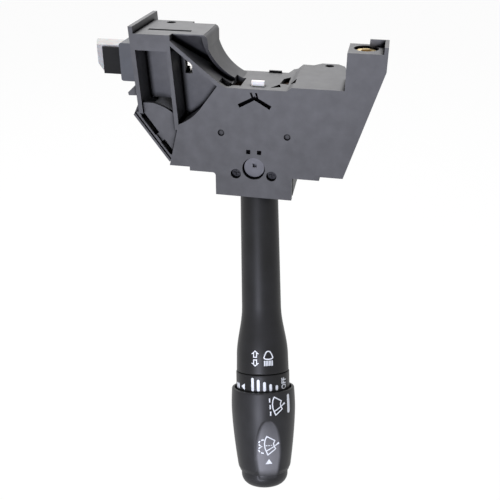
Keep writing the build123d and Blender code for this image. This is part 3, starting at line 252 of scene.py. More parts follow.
def textured_abs(name, dark, pale, pits_mm, relief_mm, roughness, specular=0.22, thumb_highlight_tones=None):
    """Satin moulded ABS; thumb tones, if given, are the two tones of painted highlight that its
    recess value fades to.
    """
    material, shader = start(name, IOR=1.54, Specular_IOR_Level=specular)
    place = add(material, "TexCoord").outputs["Object"]
    worn = add(material, "TexNoise", {"Vector": place, "Scale": per(WEAR_MM), "Detail": 4.0})
    tone = add(material, "ValToRGB", {"Fac": worn.outputs["Fac"]})
    tone.color_ramp.elements[0].position = 0.35
    tone.color_ramp.elements[0].color = linear(dark)
    tone.color_ramp.elements[1].position = 0.7
    tone.color_ramp.elements[1].color = linear(pale)
    colour = tone.outputs["Color"]
    # Painted highlight: the recess value blends the thumb recess into two paler tones.
    if thumb_highlight_tones:
        recess = add(material, "Attribute", attribute_name="recess").outputs["Fac"]
        thumb = add(material, "Mix", {"Factor": worn.outputs["Fac"], "A": linear(thumb_highlight_tones[0]),
                                      "B": linear(thumb_highlight_tones[1])}, data_type="RGBA")
        colour = add(material, "Mix", {"Factor": recess, "A": colour, "B": thumb.outputs["Result"]},
                     data_type="RGBA").outputs["Result"]
    join(material, colour, shader, "Base Color")
    gloss = add(material, "MapRange", {"Value": worn.outputs["Fac"], "To Min": roughness - 0.04,
                                       "To Max": roughness + 0.06})
    join(material, gloss.outputs[0], shader, "Roughness")
    pits = add(material, "TexVoronoi", {"Vector": place, "Scale": per(pits_mm)})
    relief = add(material, "Bump", {"Height": pits.outputs["Distance"], "Strength": 0.3,
                                    "Distance": relief_mm * MM})
    join(material, relief.outputs["Normal"], shader, "Normal")
    return material


stalk_abs = textured_abs("fine textured ABS black", "#131314", "#1c1c1e", FINE_PITS_MM, 0.03, 0.42)
# The knob's two paler tones are the painted highlight of its thumb recess.
knob_abs = textured_abs("fine textured ABS knob black", "#1a1a1c", "#252527", FINE_PITS_MM, 0.03,
                        0.42, thumb_highlight_tones=("#68686b", "#78787c"))
panel_abs = textured_abs("coarse textured ABS black", "#0f0f0f", "#1b1b1b", COARSE_PITS_MM, 0.16,
                         0.6, specular=0.12)
print("ABS texture sizes in mm:", FINE_PITS_MM, "and", COARSE_PITS_MM)

# %% [markdown]
# ## Acetal, polycarbonate, laminate and lead insulation
# Sliding parts are acetal, a waxy plastic that needs no grease: white in its natural state, grey
# or black. The hazard slider is light grey polycarbonate, which lets a little light in. The
# boards are brown phenolic laminate and the leads are PVC. Each gets its own colour, index and a
# faint cloudiness, so that none is one flat tone. The white ink of the symbols is made here too.

# %% Plain moulded plastics
POLISH_MARK_MM = 0.6
POLISH_RELIEF_MM = 0.01
GLOW_DEPTH_MM = 1.2


def cloudy_plastic(name, dark, pale, roughness, ior, cloud_mm=5.0, glow=0.0):
    """Moulded plastic with slightly cloudy colour; glow is the light let in below the surface."""
    material, shader = start(name, Roughness=roughness, IOR=ior, Subsurface_Weight=glow,
                             Subsurface_Scale=GLOW_DEPTH_MM * MM)
    place = add(material, "TexCoord").outputs["Object"]
    cloud = add(material, "TexNoise", {"Vector": place, "Scale": per(cloud_mm), "Detail": 3.0})
    tone = add(material, "ValToRGB", {"Fac": cloud.outputs["Fac"]})
    tone.color_ramp.elements[0].position = 0.3
    tone.color_ramp.elements[0].color = linear(dark)
    tone.color_ramp.elements[1].position = 0.75
    tone.color_ramp.elements[1].color = linear(pale)
    join(material, tone.outputs["Color"], shader, "Base Color")
    fine = add(material, "TexNoise", {"Vector": place, "Scale": per(POLISH_MARK_MM), "Detail": 2.0})
    relief = add(material, "Bump", {"Height": fine.outputs["Fac"], "Strength": 0.2,
                                    "Distance": POLISH_RELIEF_MM * MM})
    join(material, relief.outputs["Normal"], shader, "Normal")
    return material


white_acetal = cloudy_plastic("natural acetal", "#e4e4e0", "#f2f2ee", 0.35, 1.48, glow=0.15)
black_acetal = cloudy_plastic("moulded black acetal", "#0e0e0f", "#18181a", 0.45, 1.48)
grey_acetal = cloudy_plastic("moulded grey acetal", "#515156", "#5e5e64", 0.4, 1.48)
light_polycarbonate = cloudy_plastic("moulded light grey polycarbonate", "#8f8d8c", "#a3a1a1",
                                     0.32, 1.58, glow=0.2)
phenolic = cloudy_plastic("phenolic laminate", "#3a2a20", "#4c382a", 0.5, 1.6, cloud_mm=2.5)
lead_pvc = cloudy_plastic("PVC lead insulation", "#6e1714", "#8a201b", 0.45, 1.53)
symbol_ink = cloudy_plastic("pad-printed white ink", "#d6dade", "#e6e9ee", 0.45, 1.5, cloud_mm=1.2)
print("materials so far:", len(bpy.data.materials))

# %% [markdown]
# ## Metals
# A metal's colour is in its reflection, so metallic is 1 and the index stays at its default. The
# insert is turned brass: fine rings round its bore. The cover's screws are zinc-plated, and the
# two beside the pivot are dark with black oxide. Springs are bright drawn wire, and contacts are
# phosphor bronze or tinned brass.

# %% Turned, plated and drawn metals
SCRATCH_RELIEF_MM = 0.02


def metal(name, dark, pale, roughness, scratch_mm, stretch=(1.0, 1.0, 1.0)):
    """Metal with fine scratches of a given spacing, longer along the stretched axis."""
    material, shader = start(name, Metallic=1.0)
    place = add(material, "TexCoord").outputs["Object"]
    along = add(material, "Mapping", {"Vector": place, "Scale": stretch})
    scratches = add(material, "TexNoise", {"Vector": along.outputs["Vector"],
                                           "Scale": per(scratch_mm), "Detail": 4.0})
    tone = add(material, "ValToRGB", {"Fac": scratches.outputs["Fac"]})
    tone.color_ramp.elements[0].color = linear(dark)
    tone.color_ramp.elements[1].color = linear(pale)
    join(material, tone.outputs["Color"], shader, "Base Color")
    gloss = add(material, "MapRange", {"Value": scratches.outputs["Fac"],
                                       "To Min": roughness - 0.08, "To Max": roughness + 0.12})
    join(material, gloss.outputs[0], shader, "Roughness")
    relief = add(material, "Bump", {"Height": scratches.outputs["Fac"], "Strength": 0.2,
                                    "Distance": SCRATCH_RELIEF_MM * MM})
    join(material, relief.outputs["Normal"], shader, "Normal")
    return material


turned_brass = metal("turned brass", "#d8bd88", "#f0dfb4", 0.3, 0.5, (1.0, 1.0, 8.0))
dark_steel = metal("black oxide steel", "#1d1d1f", "#3c3c3f", 0.42, 0.6)
zinc_steel = metal("zinc-plated steel", "#a9a9a6", "#cfcfcb", 0.35, 0.8)
spring_steel = metal("drawn spring steel", "#8c8c8e", "#b4b4b6", 0.28, 0.6)
phosphor_bronze = metal("phosphor bronze strip", "#b06c46", "#d1936a", 0.32, 0.7, (1.0, 6.0, 1.0))
tinned_brass = metal("tin-plated brass", "#b9b5a6", "#d9d5c6", 0.34, 0.6, (6.0, 1.0, 1.0))
print("materials so far:", len(bpy.data.materials))

# %% [markdown]
# ## Finish of the solids that stay
# Every solid that is shown as it was packed gets its real material here. A dictionary from node
# to material keeps the list in one place, and a missing name would stop the script.

# %% Give each kept solid its material
FINISHES = {
    "housing": housing_nylon,
    "rear_cover": cover_nylon,
    "cover_screws": zinc_steel,
    "post_insert": turned_brass,
    "front_bearing": lever_nylon,
    "bearing_screws": dark_steel,
    "contact_board": phenolic,
    "board_contacts": phosphor_bronze,
    "wide_connector_blades": tinned_brass,
    "narrow_connector_blades": tinned_brass,
    "detent_cam": black_acetal,
    "hazard_guide": guide_nylon,
    "pawl_frame": lever_nylon,
    "bay_terminal": tinned_brass,
    "turn_carrier": grey_acetal,
    "beam_pin": spring_steel,
    "detent_plunger": white_acetal,
    "detent_spring": spring_steel,
    "turn_slide": white_acetal,
    "slide_contacts": phosphor_bronze,
    "beam_slide": white_acetal,
    "lever_root": lever_nylon,
    "stalk": stalk_abs,
    "marker_ring": stalk_abs,
    "stalk_tube": zinc_steel,
    "stalk_leads": lead_pvc,
    "wiper_board": phenolic,
    "washer_contact": phosphor_bronze,
    "wiper_knob": knob_abs,
    "wiper_rotor": phosphor_bronze,
    "knob_click_spring": spring_steel,
    "knob_clip": spring_steel,
    "washer_button": knob_abs,
    "washer_spring": spring_steel,
    "hazard_plunger": light_polycarbonate,
    "hazard_cap": panel_abs,
    "hazard_spring": spring_steel,
    "hazard_contact": phosphor_bronze,
    "cancel_finger": white_acetal,
    "cancel_spring": spring_steel,
}
for node, material in FINISHES.items():
    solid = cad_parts[node]
    solid.data.materials.clear()
    solid.data.materials.append(material)
print("solids with a finish:", len(FINISHES), "of", len(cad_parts))

# %% [markdown]
# ## The lever's own frame
# The lever hangs from its hinge, leans 26 degrees towards the driver and 6.3 degrees to the
# right. Round parts are far easier to describe along their own axis, so places on the lever are
# given as a distance t from the hinge, a distance r from the axis and an angle from the side that
# faces the driver, positive to the right.

# %% Places on the lever
LEVER_TILT = math.radians(26.0)
LEVER_SKEW = math.radians(6.3)
LEVER_HINGE = at(-2.0, 25.0, 0.0)
TIP_T = 182.8
AXIS = Vector((
    math.sin(LEVER_SKEW),
    -math.sin(LEVER_TILT) * math.cos(LEVER_SKEW),
    -math.cos(LEVER_TILT) * math.cos(LEVER_SKEW),
)).normalized()
TO_DRIVER = AXIS.cross(Vector((1.0, 0.0, 0.0))).normalized()
TO_RIGHT = TO_DRIVER.cross(AXIS).normalized()


def on_lever(t, r, angle):
    """A place at t along the lever, r from its axis, in millimetres and radians."""
    across = TO_DRIVER * math.cos(angle) + TO_RIGHT * math.sin(angle)
    return LEVER_HINGE + AXIS * (t * MM) + across * (r * MM)


tip = on_lever(TIP_T, 0, 0)
print("lever tip in mm from the insert:", [round(c / MM, 1) for c in tip])

# %% [markdown]
# ## Turned forms
# Stalk, ring, knob and button are bodies of revolution. The imported solids are right in shape but
# have coarse facets, which would show as flats in the highlight and let the thin printed symbols
# sink in. A lathe function spins a closed profile round the lever's axis in fine steps instead.
# A profile is a list of (t, r) points, and a straight stretch is divided so that a scoop can
# bend it. Each point of the mesh also keeps a value called recess, which says how much of the
# thumb recess's paler tone, a painted highlight, it has; the knob's material reads it.

# %% Lathe on the lever's axis
SPIN_STEPS = 224
SAME_PLACE_M = 1e-6
SHARP_DEG = 32


def divided(profile, step_mm=1.0):
    """The closed profile with its long sides cut into steps."""
    points = []
    for (t0, r0), (t1, r1) in zip(profile, profile[1:] + profile[:1]):
        count = max(1, math.ceil(math.hypot(t1 - t0, r1 - r0) / step_mm))
        points += [(t0 + (t1 - t0) * i / count, r0 + (r1 - r0) * i / count) for i in range(count)]
    return points


def in_scene(name, data, material):
    """A new object that shows this mesh in one material."""
    piece = bpy.data.objects.new(name, data)
    bpy.context.scene.collection.objects.link(piece)
    data.materials.append(material)
    return piece


def lathe(name, profile, material, node, body="lever", scoop=None, tint=None):
    """A solid of revolution that stands for a node.

    scoop says how far a point sinks, and tint what its recess value is: its share of painted
    highlight.
    """
    points = divided(profile)
    mesh = bmesh.new()
    # The recess value of each point is its share of the knob's painted highlight.
    recess = mesh.verts.layers.float.new("recess")
    rings = []
    for step in range(SPIN_STEPS):
        angle = 2 * math.pi * step / SPIN_STEPS
        ring = []
        for t, r in points:
            sink = scoop(t, angle, r) if scoop else 0.0
            vert = mesh.verts.new(on_lever(t, r - sink, angle))
            vert[recess] = tint(t, angle, r) if tint else 0.0
            ring.append(vert)
        rings.append(ring)
    count = len(points)
    for step, ring in enumerate(rings):
        after = rings[(step + 1) % SPIN_STEPS]
        for i in range(count):
            k = (i + 1) % count
            mesh.faces.new((ring[i], ring[k], after[k], after[i]))
    bmesh.ops.remove_doubles(mesh, verts=mesh.verts, dist=SAME_PLACE_M)
    bmesh.ops.recalc_face_normals(mesh, faces=mesh.faces)
    data = bpy.data.meshes.new(name)
    mesh.to_mesh(data)
    mesh.free()
    data.shade_smooth()
    data.set_sharp_from_angle(angle=math.radians(SHARP_DEG))
    piece = in_scene(name, data, material)
    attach(piece, body)
    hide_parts(node)
    print(name, "faces:", len(data.polygons))
    return piece


# %% [markdown]
# ## Stalk
# A long slim cone of black ABS with a flare at its lower end that hides the marker ring's edge.
# On the real lever it is one moulding. A lathe suits it, because every section is round; the
# flare is an S-curve made from a cosine, and the end edge has a small radius. The enlarged
# photograph shows the seam with the marker ring 2 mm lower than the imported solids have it, so
# the stalk is drawn as far as that.

# %% Turn the stalk
STALK_T0, STALK_T1 = 21.0, 119.6
FLARE_T0, FLARE_T1 = 84.0, 112.0
STALK_R0, STALK_R1, FLARE_R = 10.2, 10.7, 14.1
FLARE_GROWTH = 0.2
STALK_BORE_R = 6.4


def stalk_radius(t):
    """Outer radius of the stalk at a distance from the hinge."""
    if t < FLARE_T0:
        return STALK_R0 + (STALK_R1 - STALK_R0) * (t - STALK_T0) / (FLARE_T0 - STALK_T0)
    if t < FLARE_T1:
        share = (t - FLARE_T0) / (FLARE_T1 - FLARE_T0)
        return STALK_R1 + (FLARE_R - STALK_R1) * (1 - math.cos(math.pi * share)) / 2
    return FLARE_R + FLARE_GROWTH * (t - FLARE_T1) / (STALK_T1 - FLARE_T1)


outer_count = math.floor(STALK_T1 - STALK_T0 - 1)
outer = [(STALK_T0 + 1 + i, stalk_radius(STALK_T0 + 1 + i)) for i in range(outer_count)]
rim_r = stalk_radius(STALK_T1)
end_edge = [(STALK_T1 - 0.5, rim_r - 0.02), (STALK_T1 - 0.15, rim_r - 0.15),
            (STALK_T1, rim_r - 0.5)]
stalk_profile = [(STALK_T0, STALK_BORE_R), (STALK_T0, STALK_R0 - 0.6),
                 (STALK_T0 + 0.4, STALK_R0 - 0.15)]
stalk_profile += outer + end_edge + [(STALK_T1, STALK_BORE_R)]
lathe("stalk_shell", stalk_profile, stalk_abs, node="stalk")

# %% [markdown]
# ## Marker ring
# The ring that carries the wiper marks sits between stalk and knob, with a fine groove where it
# meets the stalk. Below it goes the core on which the knob turns, so the profile has a step, the
# core and the groove of the retaining clip. Above it a spigot reaches up into the stalk.

# %% Turn the marker ring and its core
RING_R, RING_T1 = 14.6, 134.0
CORE_R, CORE_BORE_R, CORE_T1 = 9.0, 5.0, 165.0
CLIP_T0, CLIP_T1, CLIP_R = 162.0, 163.2, 8.2
SPIGOT_T0 = 105.6
SPIGOT_R, SPIGOT_BORE_R = STALK_BORE_R - 0.05, CORE_BORE_R - 0.6
RING_T0 = STALK_T1 + 0.3
GROOVE_R = RING_R - 1.6
EDGE = 0.3
ring_profile = [
    (SPIGOT_T0, SPIGOT_BORE_R), (SPIGOT_T0, SPIGOT_R), (STALK_T1, SPIGOT_R), (STALK_T1, GROOVE_R),
    (RING_T0, GROOVE_R), (RING_T0, RING_R - EDGE), (RING_T0 + 0.1, RING_R - 0.08),
    (RING_T0 + 0.35, RING_R), (RING_T1 - EDGE, RING_R), (RING_T1, RING_R - EDGE),
    (RING_T1, CORE_R), (CLIP_T0, CORE_R), (CLIP_T0, CLIP_R), (CLIP_T1, CLIP_R),
    (CLIP_T1, CORE_R), (CORE_T1, CORE_R), (CORE_T1, CORE_BORE_R), (STALK_T1, CORE_BORE_R),
    (STALK_T1, SPIGOT_BORE_R),
]
lathe("marker_ring_turned", ring_profile, stalk_abs, node="marker_ring")

# %% [markdown]
# ## Wiper knob with its thumb recess
# The knob is a barrel: widest near its mouth and slimmer towards the end. A drop-shaped scoop on
# the driver's side gives the thumb a place to push from. It could be cut with a boolean, but
# sinking the lathe's own points by a smooth amount keeps the mesh clean. The scoop's half width
# follows the drop: narrow at the top, full in the middle and a little narrower at the end of the
# knob. Its paler tone is a painted highlight: weak at the drop's tip, full in the middle, and
# fading again where the knob ends. Inside the knob the bore for the washer button stays round, so
# the scoop leaves it a wall.

# %% Shape of the thumb recess
RECESS_ANGLE = math.radians(17.2)
RECESS_T0, RECESS_T1 = 143.4, 176.0
RECESS_DEPTH = 0.5
RECESS_HALF_W = 7.9
RECESS_SOFT = 0.3
WIDENING_MM = 17.0
NARROWING_T, NARROWING = 164.0, 0.28
SHALLOW_HALF_W = 3.0
# Where the painted highlight of the recess starts, becomes full, and fades at the knob's end.
FADE_TOP_T, FADE_FULL_T, TIP_TONE = 144.0, 160.0, 0.35
FADE_END_T, FADE_GONE_T, END_LOSS = 170.5, 174.6, 0.85
EDGE_FADE = 1.5
CAP_R, CAP_WALL = 12.7, 0.2
CAP_SKIN = 1.0


def share_of_way(value, first, last):
    """0 up to the first value, 1 from the last, and evenly between them."""
    return min(1.0, max(0.0, (value - first) / (last - first)))


def drop_half_width(t):
    """Half width of the drop at a distance along the lever, in millimetres."""
    if t <= RECESS_T0 or t >= RECESS_T1:
        return 0.0
    rise = share_of_way(t, RECESS_T0, RECESS_T0 + WIDENING_MM)
    fall = share_of_way(t, NARROWING_T, RECESS_T1)
    return RECESS_HALF_W * math.sqrt(1 - (1 - rise) ** 2) * (1 - NARROWING * fall)


def thumb_scoop(t, angle, r):
    """How far the surface sinks at a place on the knob."""
    half = drop_half_width(t)
    if half <= 0:
        return 0.0
    off = (angle - RECESS_ANGLE + math.pi) % (2 * math.pi) - math.pi
    inside = 1 - abs(off * r) / half
    if inside <= 0:
        return 0.0
    share = min(1.0, inside / RECESS_SOFT)
    return RECESS_DEPTH * share * share * (3 - 2 * share) * min(1.0, half / SHALLOW_HALF_W)


def barrel_scoop(t, angle, r):
    """The scoop in the knob's outer skin, which leaves a wall round the button's bore."""
    bore_wall_r = CAP_R + CAP_WALL
    return min(thumb_scoop(t, angle, r), r - bore_wall_r) if r > bore_wall_r else 0.0


def cap_scoop(t, angle, r):
    """The scoop in the button's outer skin; its inside and its stem stay round."""
    return thumb_scoop(t, angle, r) if r > CAP_R - CAP_SKIN else 0.0


def thumb_highlight(t, angle, r):
    """How much of the recess's painted highlight tone a place has."""
    from_top = TIP_TONE + (1 - TIP_TONE) * share_of_way(t, FADE_TOP_T, FADE_FULL_T)
    to_end = 1 - END_LOSS * share_of_way(t, FADE_END_T, FADE_GONE_T)
    from_edge = min(1.0, thumb_scoop(t, angle, r) / RECESS_DEPTH) ** EDGE_FADE
    return from_top * to_end * from_edge


print("recess half width in mm at its middle:", round(drop_half_width(NARROWING_T), 1))

# %% Turn the knob
KNOB_T0, KNOB_T1 = 128.8, 174.6
KNOB_WIDE_T, KNOB_SLIM_T = 139.0, 172.0
KNOB_RIM_R, KNOB_MAX_R, KNOB_END_R = 17.1, 17.5, 14.2
KNOB_END_EDGE, KNOB_TAPER = 0.2, 1.55
KNOB_BEARING_T0, KNOB_BEARING_T1 = 140.0, 161.8
CLEAR = 0.05
BARREL_T0, BARREL_STEP, BARREL_COUNT = KNOB_T0 + 0.6, 0.5, 86


def knob_radius(t):
    """Outer radius of the knob: a gentle barrel through its widest place."""
    if t < KNOB_WIDE_T:
        share = (t - KNOB_T0) / (KNOB_WIDE_T - KNOB_T0)
        return KNOB_RIM_R + (KNOB_MAX_R - KNOB_RIM_R) * math.sin(share * math.pi / 2)
    share = (t - KNOB_WIDE_T) / (KNOB_SLIM_T - KNOB_WIDE_T)
    return KNOB_MAX_R - (KNOB_MAX_R - KNOB_END_R - KNOB_END_EDGE) * share ** KNOB_TAPER


barrel_places = [BARREL_T0 + i * BARREL_STEP for i in range(BARREL_COUNT)]
knob_profile = [(KNOB_T0, KNOB_RIM_R - 1.4), (KNOB_T0, KNOB_RIM_R - 0.5),
                (KNOB_T0 + 0.2, KNOB_RIM_R - 0.12)]
knob_profile += [(t, knob_radius(t)) for t in barrel_places]
knob_profile += [
    (KNOB_T1 - 1.9, KNOB_END_R - 0.05), (KNOB_T1 - 1.1, KNOB_END_R - 0.55),
    (KNOB_T1 - 0.4, CAP_R + 0.8), (KNOB_T1, CAP_R + 0.3), (KNOB_T1, CAP_R + CLEAR),
    (KNOB_BEARING_T1, CAP_R + CLEAR), (KNOB_BEARING_T1, CORE_R + CLEAR),
    (KNOB_BEARING_T0, CORE_R + CLEAR), (KNOB_BEARING_T0, KNOB_RIM_R - 1.8),
]
lathe("knob_barrel", knob_profile, knob_abs, node="wiper_knob", body="knob",
      scoop=barrel_scoop, tint=thumb_highlight)

# %% [markdown]
# ## Washer button
# A domed cap closes the end of the knob and slides in by 2.5 mm. The end of the drop-shaped
# recess runs over its edge, so the same scoop is used here. Its stem goes down the hollow core.

# %% Turn the washer button
CAP_SKIRT_T0 = 170.0
CAP_ROUND, CAP_ROUND_STEPS = 6.0, 12
CAP_INNER_R, CAP_ROOF = 10.9, 4.8
STEM_R, STEM_T0 = 2.6, 154.5
dome = []
for step in range(CAP_ROUND_STEPS + 1):
    turn = math.pi / 2 * step / CAP_ROUND_STEPS
    dome.append((TIP_T - CAP_ROUND + CAP_ROUND * math.sin(turn),
                 CAP_R - CAP_ROUND + CAP_ROUND * math.cos(turn)))
cap_profile = [(CAP_SKIRT_T0, CAP_INNER_R), (CAP_SKIRT_T0, CAP_R)] + dome
cap_profile += [(TIP_T, 0.0), (STEM_T0, 0.0), (STEM_T0, STEM_R), (TIP_T - CAP_ROOF, STEM_R),
                (TIP_T - CAP_ROOF, CAP_INNER_R)]
lathe("washer_cap", cap_profile, knob_abs, node="washer_button", body="washer",
      scoop=cap_scoop, tint=thumb_highlight)

# %% [markdown]
# ## Spring copies
# Four coil springs are pushed shorter when the piece in front of them moves: the hazard slider's,
# the cancelling finger's, the detent plunger's and the washer button's. An imported solid is rigid,
# and the moving piece would run into it. Here each spring is only copied as it stands, with a mesh
# of its own, and carried by the body that holds it, while the imported solid is hidden; the copy
# does not shorten. The wire is 1 mm thick at most, and only the hazard spring can be seen, from
# behind.

# %% Copy the springs onto their bodies
# node, body that carries it, joint that presses it, way to the end that stays, travel in mm
SPRINGS = (
    ("hazard_spring", "housing", "hazard", Vector((1.0, 0.0, 0.0)), 4.0),
    ("cancel_spring", "housing", "cancel_finger", Vector((0.0, 0.0, -1.0)), 3.0),
    ("detent_spring", "carrier", "detent", Vector((0.0, 0.0, -1.0)), 0.8),
    ("washer_spring", "lever", "washer", -AXIS, 2.5),
)
for node, body, joint, to_seat, travel in SPRINGS:
    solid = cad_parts[node]
    coil = bpy.data.objects.new(f"{node}_coil", solid.data.copy())
    bpy.context.scene.collection.objects.link(coil)
    coil.matrix_world = solid.matrix_world.copy()
    corners = [solid.matrix_world @ vert.co for vert in coil.data.vertices]
    middle = sum(corners, Vector()) / len(corners)
    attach(coil, body)
    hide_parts(node)
    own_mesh(coil)

# %% [markdown]
# ## Printed symbols
# The white symbols are pad-printed ink, a film a few hundredths of a millimetre thick. They could
# be an image, but drawn outlines stay sharp at any size. Each symbol is drawn flat in
# millimetres, x to its right and y to its top, filled as a 2D curve, cut into small faces and
# then laid on the round surface by turning x into an angle and y into a distance.

# %% Draw flat shapes
INK_LIFT, INK_T = 0.035, 0.05
INK_STEP, INK_CUTS = 0.45, 5
LETTER_EM, LETTER_BOLD = 1.4, 0.1
SHARPEST_MITRE = 0.4
SAME_POINT_MM = 1e-5


def stroke(points, width, closed=False):
    """Outlines of a line of even width through points: one loop, or two when it is closed."""
    path = [Vector(p) for p in points]
    count = len(path)
    left, right = [], []
    for i, p in enumerate(path):
        before = path[i - 1] if i or closed else None
        after = path[(i + 1) % count] if i < count - 1 or closed else None
        into = (p - before).normalized() if before is not None else (after - p).normalized()
        out = (after - p).normalized() if after is not None else into
        along = (into + out).normalized()
        spread = width / 2 / max(SHARPEST_MITRE, along.dot(out))
        normal = Vector((-along.y, along.x))
        left.append(tuple(p + normal * spread))
        right.append(tuple(p - normal * spread))
    return [left, right] if closed else [left + right[::-1]]


def arc(cx, cy, radius, start_deg, end_deg, steps=12):
    """Points along a circular arc."""
    step_deg = (end_deg - start_deg) / steps
    angles = [math.radians(start_deg + step_deg * i) for i in range(steps + 1)]
    return [(cx + radius * math.cos(a), cy + radius * math.sin(a)) for a in angles]


def bar(x, y0, y1, width):
    """An upright bar with rounded ends."""
    r = width / 2
    return [arc(x, y1 - r, r, 0, 180, 6) + arc(x, y0 + r, r, 180, 360, 6)]


def mesh_of(curve):
    """The mesh that a curve makes; the curve itself is removed."""
    holder = bpy.data.objects.new("flat", curve)
    mesh = bpy.data.meshes.new_from_object(holder)
    bpy.data.objects.remove(holder)
    bpy.data.curves.remove(curve)
    return mesh


def filled(loops):
    """A thin mesh that fills closed loops, with holes where one lies in another."""
    curve = bpy.data.curves.new("flat", "CURVE")
    curve.dimensions = "2D"
    curve.fill_mode = "BOTH"
    curve.extrude = INK_T / 2
    for loop in loops:
        spline = curve.splines.new("POLY")
        spline.points.add(len(loop) - 1)
        spline.use_cyclic_u = True
        for point, (x, y) in zip(spline.points, loop):
            point.co = (x, y, 0, 1)
    return mesh_of(curve)


def lettering(words, height, length):
    """A thin mesh of plain letters, centred, drawn to a height and a length."""
    curve = bpy.data.curves.new("letters", "FONT")
    curve.body = words
    curve.size = height * LETTER_EM
    curve.align_x = "CENTER"
    curve.align_y = "CENTER"
    curve.offset = LETTER_BOLD
    curve.extrude = INK_T / 2
    mesh = mesh_of(curve)
    across = [vert.co.x for vert in mesh.vertices]
    up = [vert.co.y for vert in mesh.vertices]
    for vert in mesh.vertices:
        vert.co.x = ((vert.co.x - min(across)) / (max(across) - min(across)) - 0.5) * length
        vert.co.y = ((vert.co.y - min(up)) / (max(up) - min(up)) - 0.5) * height
    return mesh


# %% Lay a flat shape on the lever
def printed(name, shapes, t, degrees, radius, body, turned=0.0):
    """Lays flat meshes on a round surface; turned is the symbol's rotation in degrees."""
    mesh = bmesh.new()
    for shape in shapes:
        mesh.from_mesh(shape)
    bmesh.ops.remove_doubles(mesh, verts=mesh.verts, dist=SAME_POINT_MM)
    for _ in range(INK_CUTS):
        long_edges = [e for e in mesh.edges if e.calc_length() > INK_STEP]
        if not long_edges:
            break
        bmesh.ops.subdivide_edges(mesh, edges=long_edges, cuts=1)
        bmesh.ops.triangulate(mesh, faces=mesh.faces)
    spin = Matrix.Rotation(math.radians(turned), 3, "Z")
    for vert in mesh.verts:
        x, y, z = spin @ vert.co
        place_t = t - y
        base = radius(place_t, math.radians(degrees))
        angle = math.radians(degrees) + x / base
        vert.co = on_lever(place_t, radius(place_t, angle) + INK_LIFT + z, angle)
    bmesh.ops.recalc_face_normals(mesh, faces=mesh.faces)
    data = bpy.data.meshes.new(name)
    mesh.to_mesh(data)
    mesh.free()
    piece = in_scene(name, data, symbol_ink)
    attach(piece, body)
    print(name, "faces:", len(data.polygons))
    return piece


def stalk_surface(t, angle):
    """Radius of the stalk under a symbol."""
    return stalk_radius(t)


def ring_surface(t, angle):
    """Radius of the marker ring under a symbol."""
    return RING_R


def knob_surface(t, angle):
    """Radius of the knob under a symbol, with the thumb recess."""
    base = knob_radius(t)
    return base - thumb_scoop(t, angle % (2 * math.pi), base)


# %% [markdown]
# ## Symbols on the stalk
# Two hollow arrows stand for the direction indicators, pushed up or down, and the lamp with
# straight rays is the standard sign for the high beam.

# %% Arrows and high-beam lamp
LAMP_LINE = 0.6
ARROW_LINE, ARROW_APART = 0.5, 2.4
LAMP_BARS, LAMP_BAR_PITCH, LAMP_BAR_HALF = 6, 0.86, 0.28
LAMP_BAR_Y0, LAMP_BAR_Y1 = -4.0, -1.2
SIGN_T = 110.8


def hollow_arrow(centre_y, way):
    """Outline of a short arrow; way is 1 for up and -1 for down."""
    head, neck, half, stem, foot = 1.57, 0.22, 1.57, 0.8, -1.68
    right = [(half, neck), (stem, neck), (stem, foot)]
    points = [(0, head)] + right + [(-x, y) for x, y in reversed(right)]
    return [(x, centre_y + way * y) for x, y in points]


arrows = [filled(stroke(hollow_arrow(way * ARROW_APART, way), ARROW_LINE, True)) for way in (1, -1)]
printed("indicator_arrows", arrows, SIGN_T, -7.3, stalk_surface, "lever")

half_lamp = [(0.0, 3.8), (0.75, 3.6), (1.35, 3.0), (1.75, 2.2), (2.15, 1.2), (2.4, 0.45),
             (2.25, 0.0), (1.6, -0.3), (0.8, -0.45)]
lamp_outline = half_lamp + [(0.0, -0.5)] + [(-x, y) for x, y in half_lamp[:0:-1]]
lamp = [filled(stroke(lamp_outline, LAMP_LINE, True))]
for number in range(LAMP_BARS):
    x0 = LAMP_BAR_PITCH * (number - (LAMP_BARS - 1) / 2) - LAMP_BAR_HALF
    x1 = x0 + 2 * LAMP_BAR_HALF
    ray = [(x0, LAMP_BAR_Y0), (x1, LAMP_BAR_Y0), (x1, LAMP_BAR_Y1), (x0, LAMP_BAR_Y1)]
    lamp.append(filled([ray]))
printed("high_beam_sign", lamp, SIGN_T, 21.9, stalk_surface, "lever")

# %% [markdown]
# ## Marks of the wiper speeds
# Five bars that grow from right to left show the pause between wipes, then a triangle and two
# short bars mark the steady speeds. OFF is printed sideways at the right, where the index line
# rests.

# %% Marks on the ring
PAUSE_BAR_W, PAUSE_BAR_FOOT_T = 1.5, 128.4
PAUSE_BARS = ((-13.3, 121.1), (-1.0, 122.0), (12.0, 123.2), (25.0, 124.5), (39.2, 125.4))
SPEED_BAR_W, SPEED_BAR_HALF = 1.3, 1.6
SPEED_BARS = (-53.3, -60.3)

for order, (degrees, top_t) in enumerate(PAUSE_BARS, 1):
    half = (PAUSE_BAR_FOOT_T - top_t) / 2
    printed(f"pause_bar_{order}", [filled(bar(0, -half, half, PAUSE_BAR_W))],
            (PAUSE_BAR_FOOT_T + top_t) / 2, degrees, ring_surface, "lever")
triangle = [filled([[(-1.4, 0), (1.3, 1.8), (1.3, -1.8)]])]
printed("speed_triangle", triangle, 126.5, -38.0, ring_surface, "lever")
for order, degrees in enumerate(SPEED_BARS, 1):
    printed(f"speed_bar_{order}", [filled(bar(0, -SPEED_BAR_HALF, SPEED_BAR_HALF, SPEED_BAR_W))],
            126.7, degrees, ring_surface, "lever")
off_word = [lettering("OFF", height=3.6, length=6.2)]
printed("off_word", off_word, 125.2, 58.8, ring_surface, "lever", turned=90.0)

# %% [markdown]
# ## Symbols on the knob
# The windscreen with its wiper is drawn once as a function and used twice: with three dashes for
# the pause position, and with two sprays of dashes and a jet of drops for the washer. On the knob
# both lie on their side, because the lever is level with the driver's hand in the car.

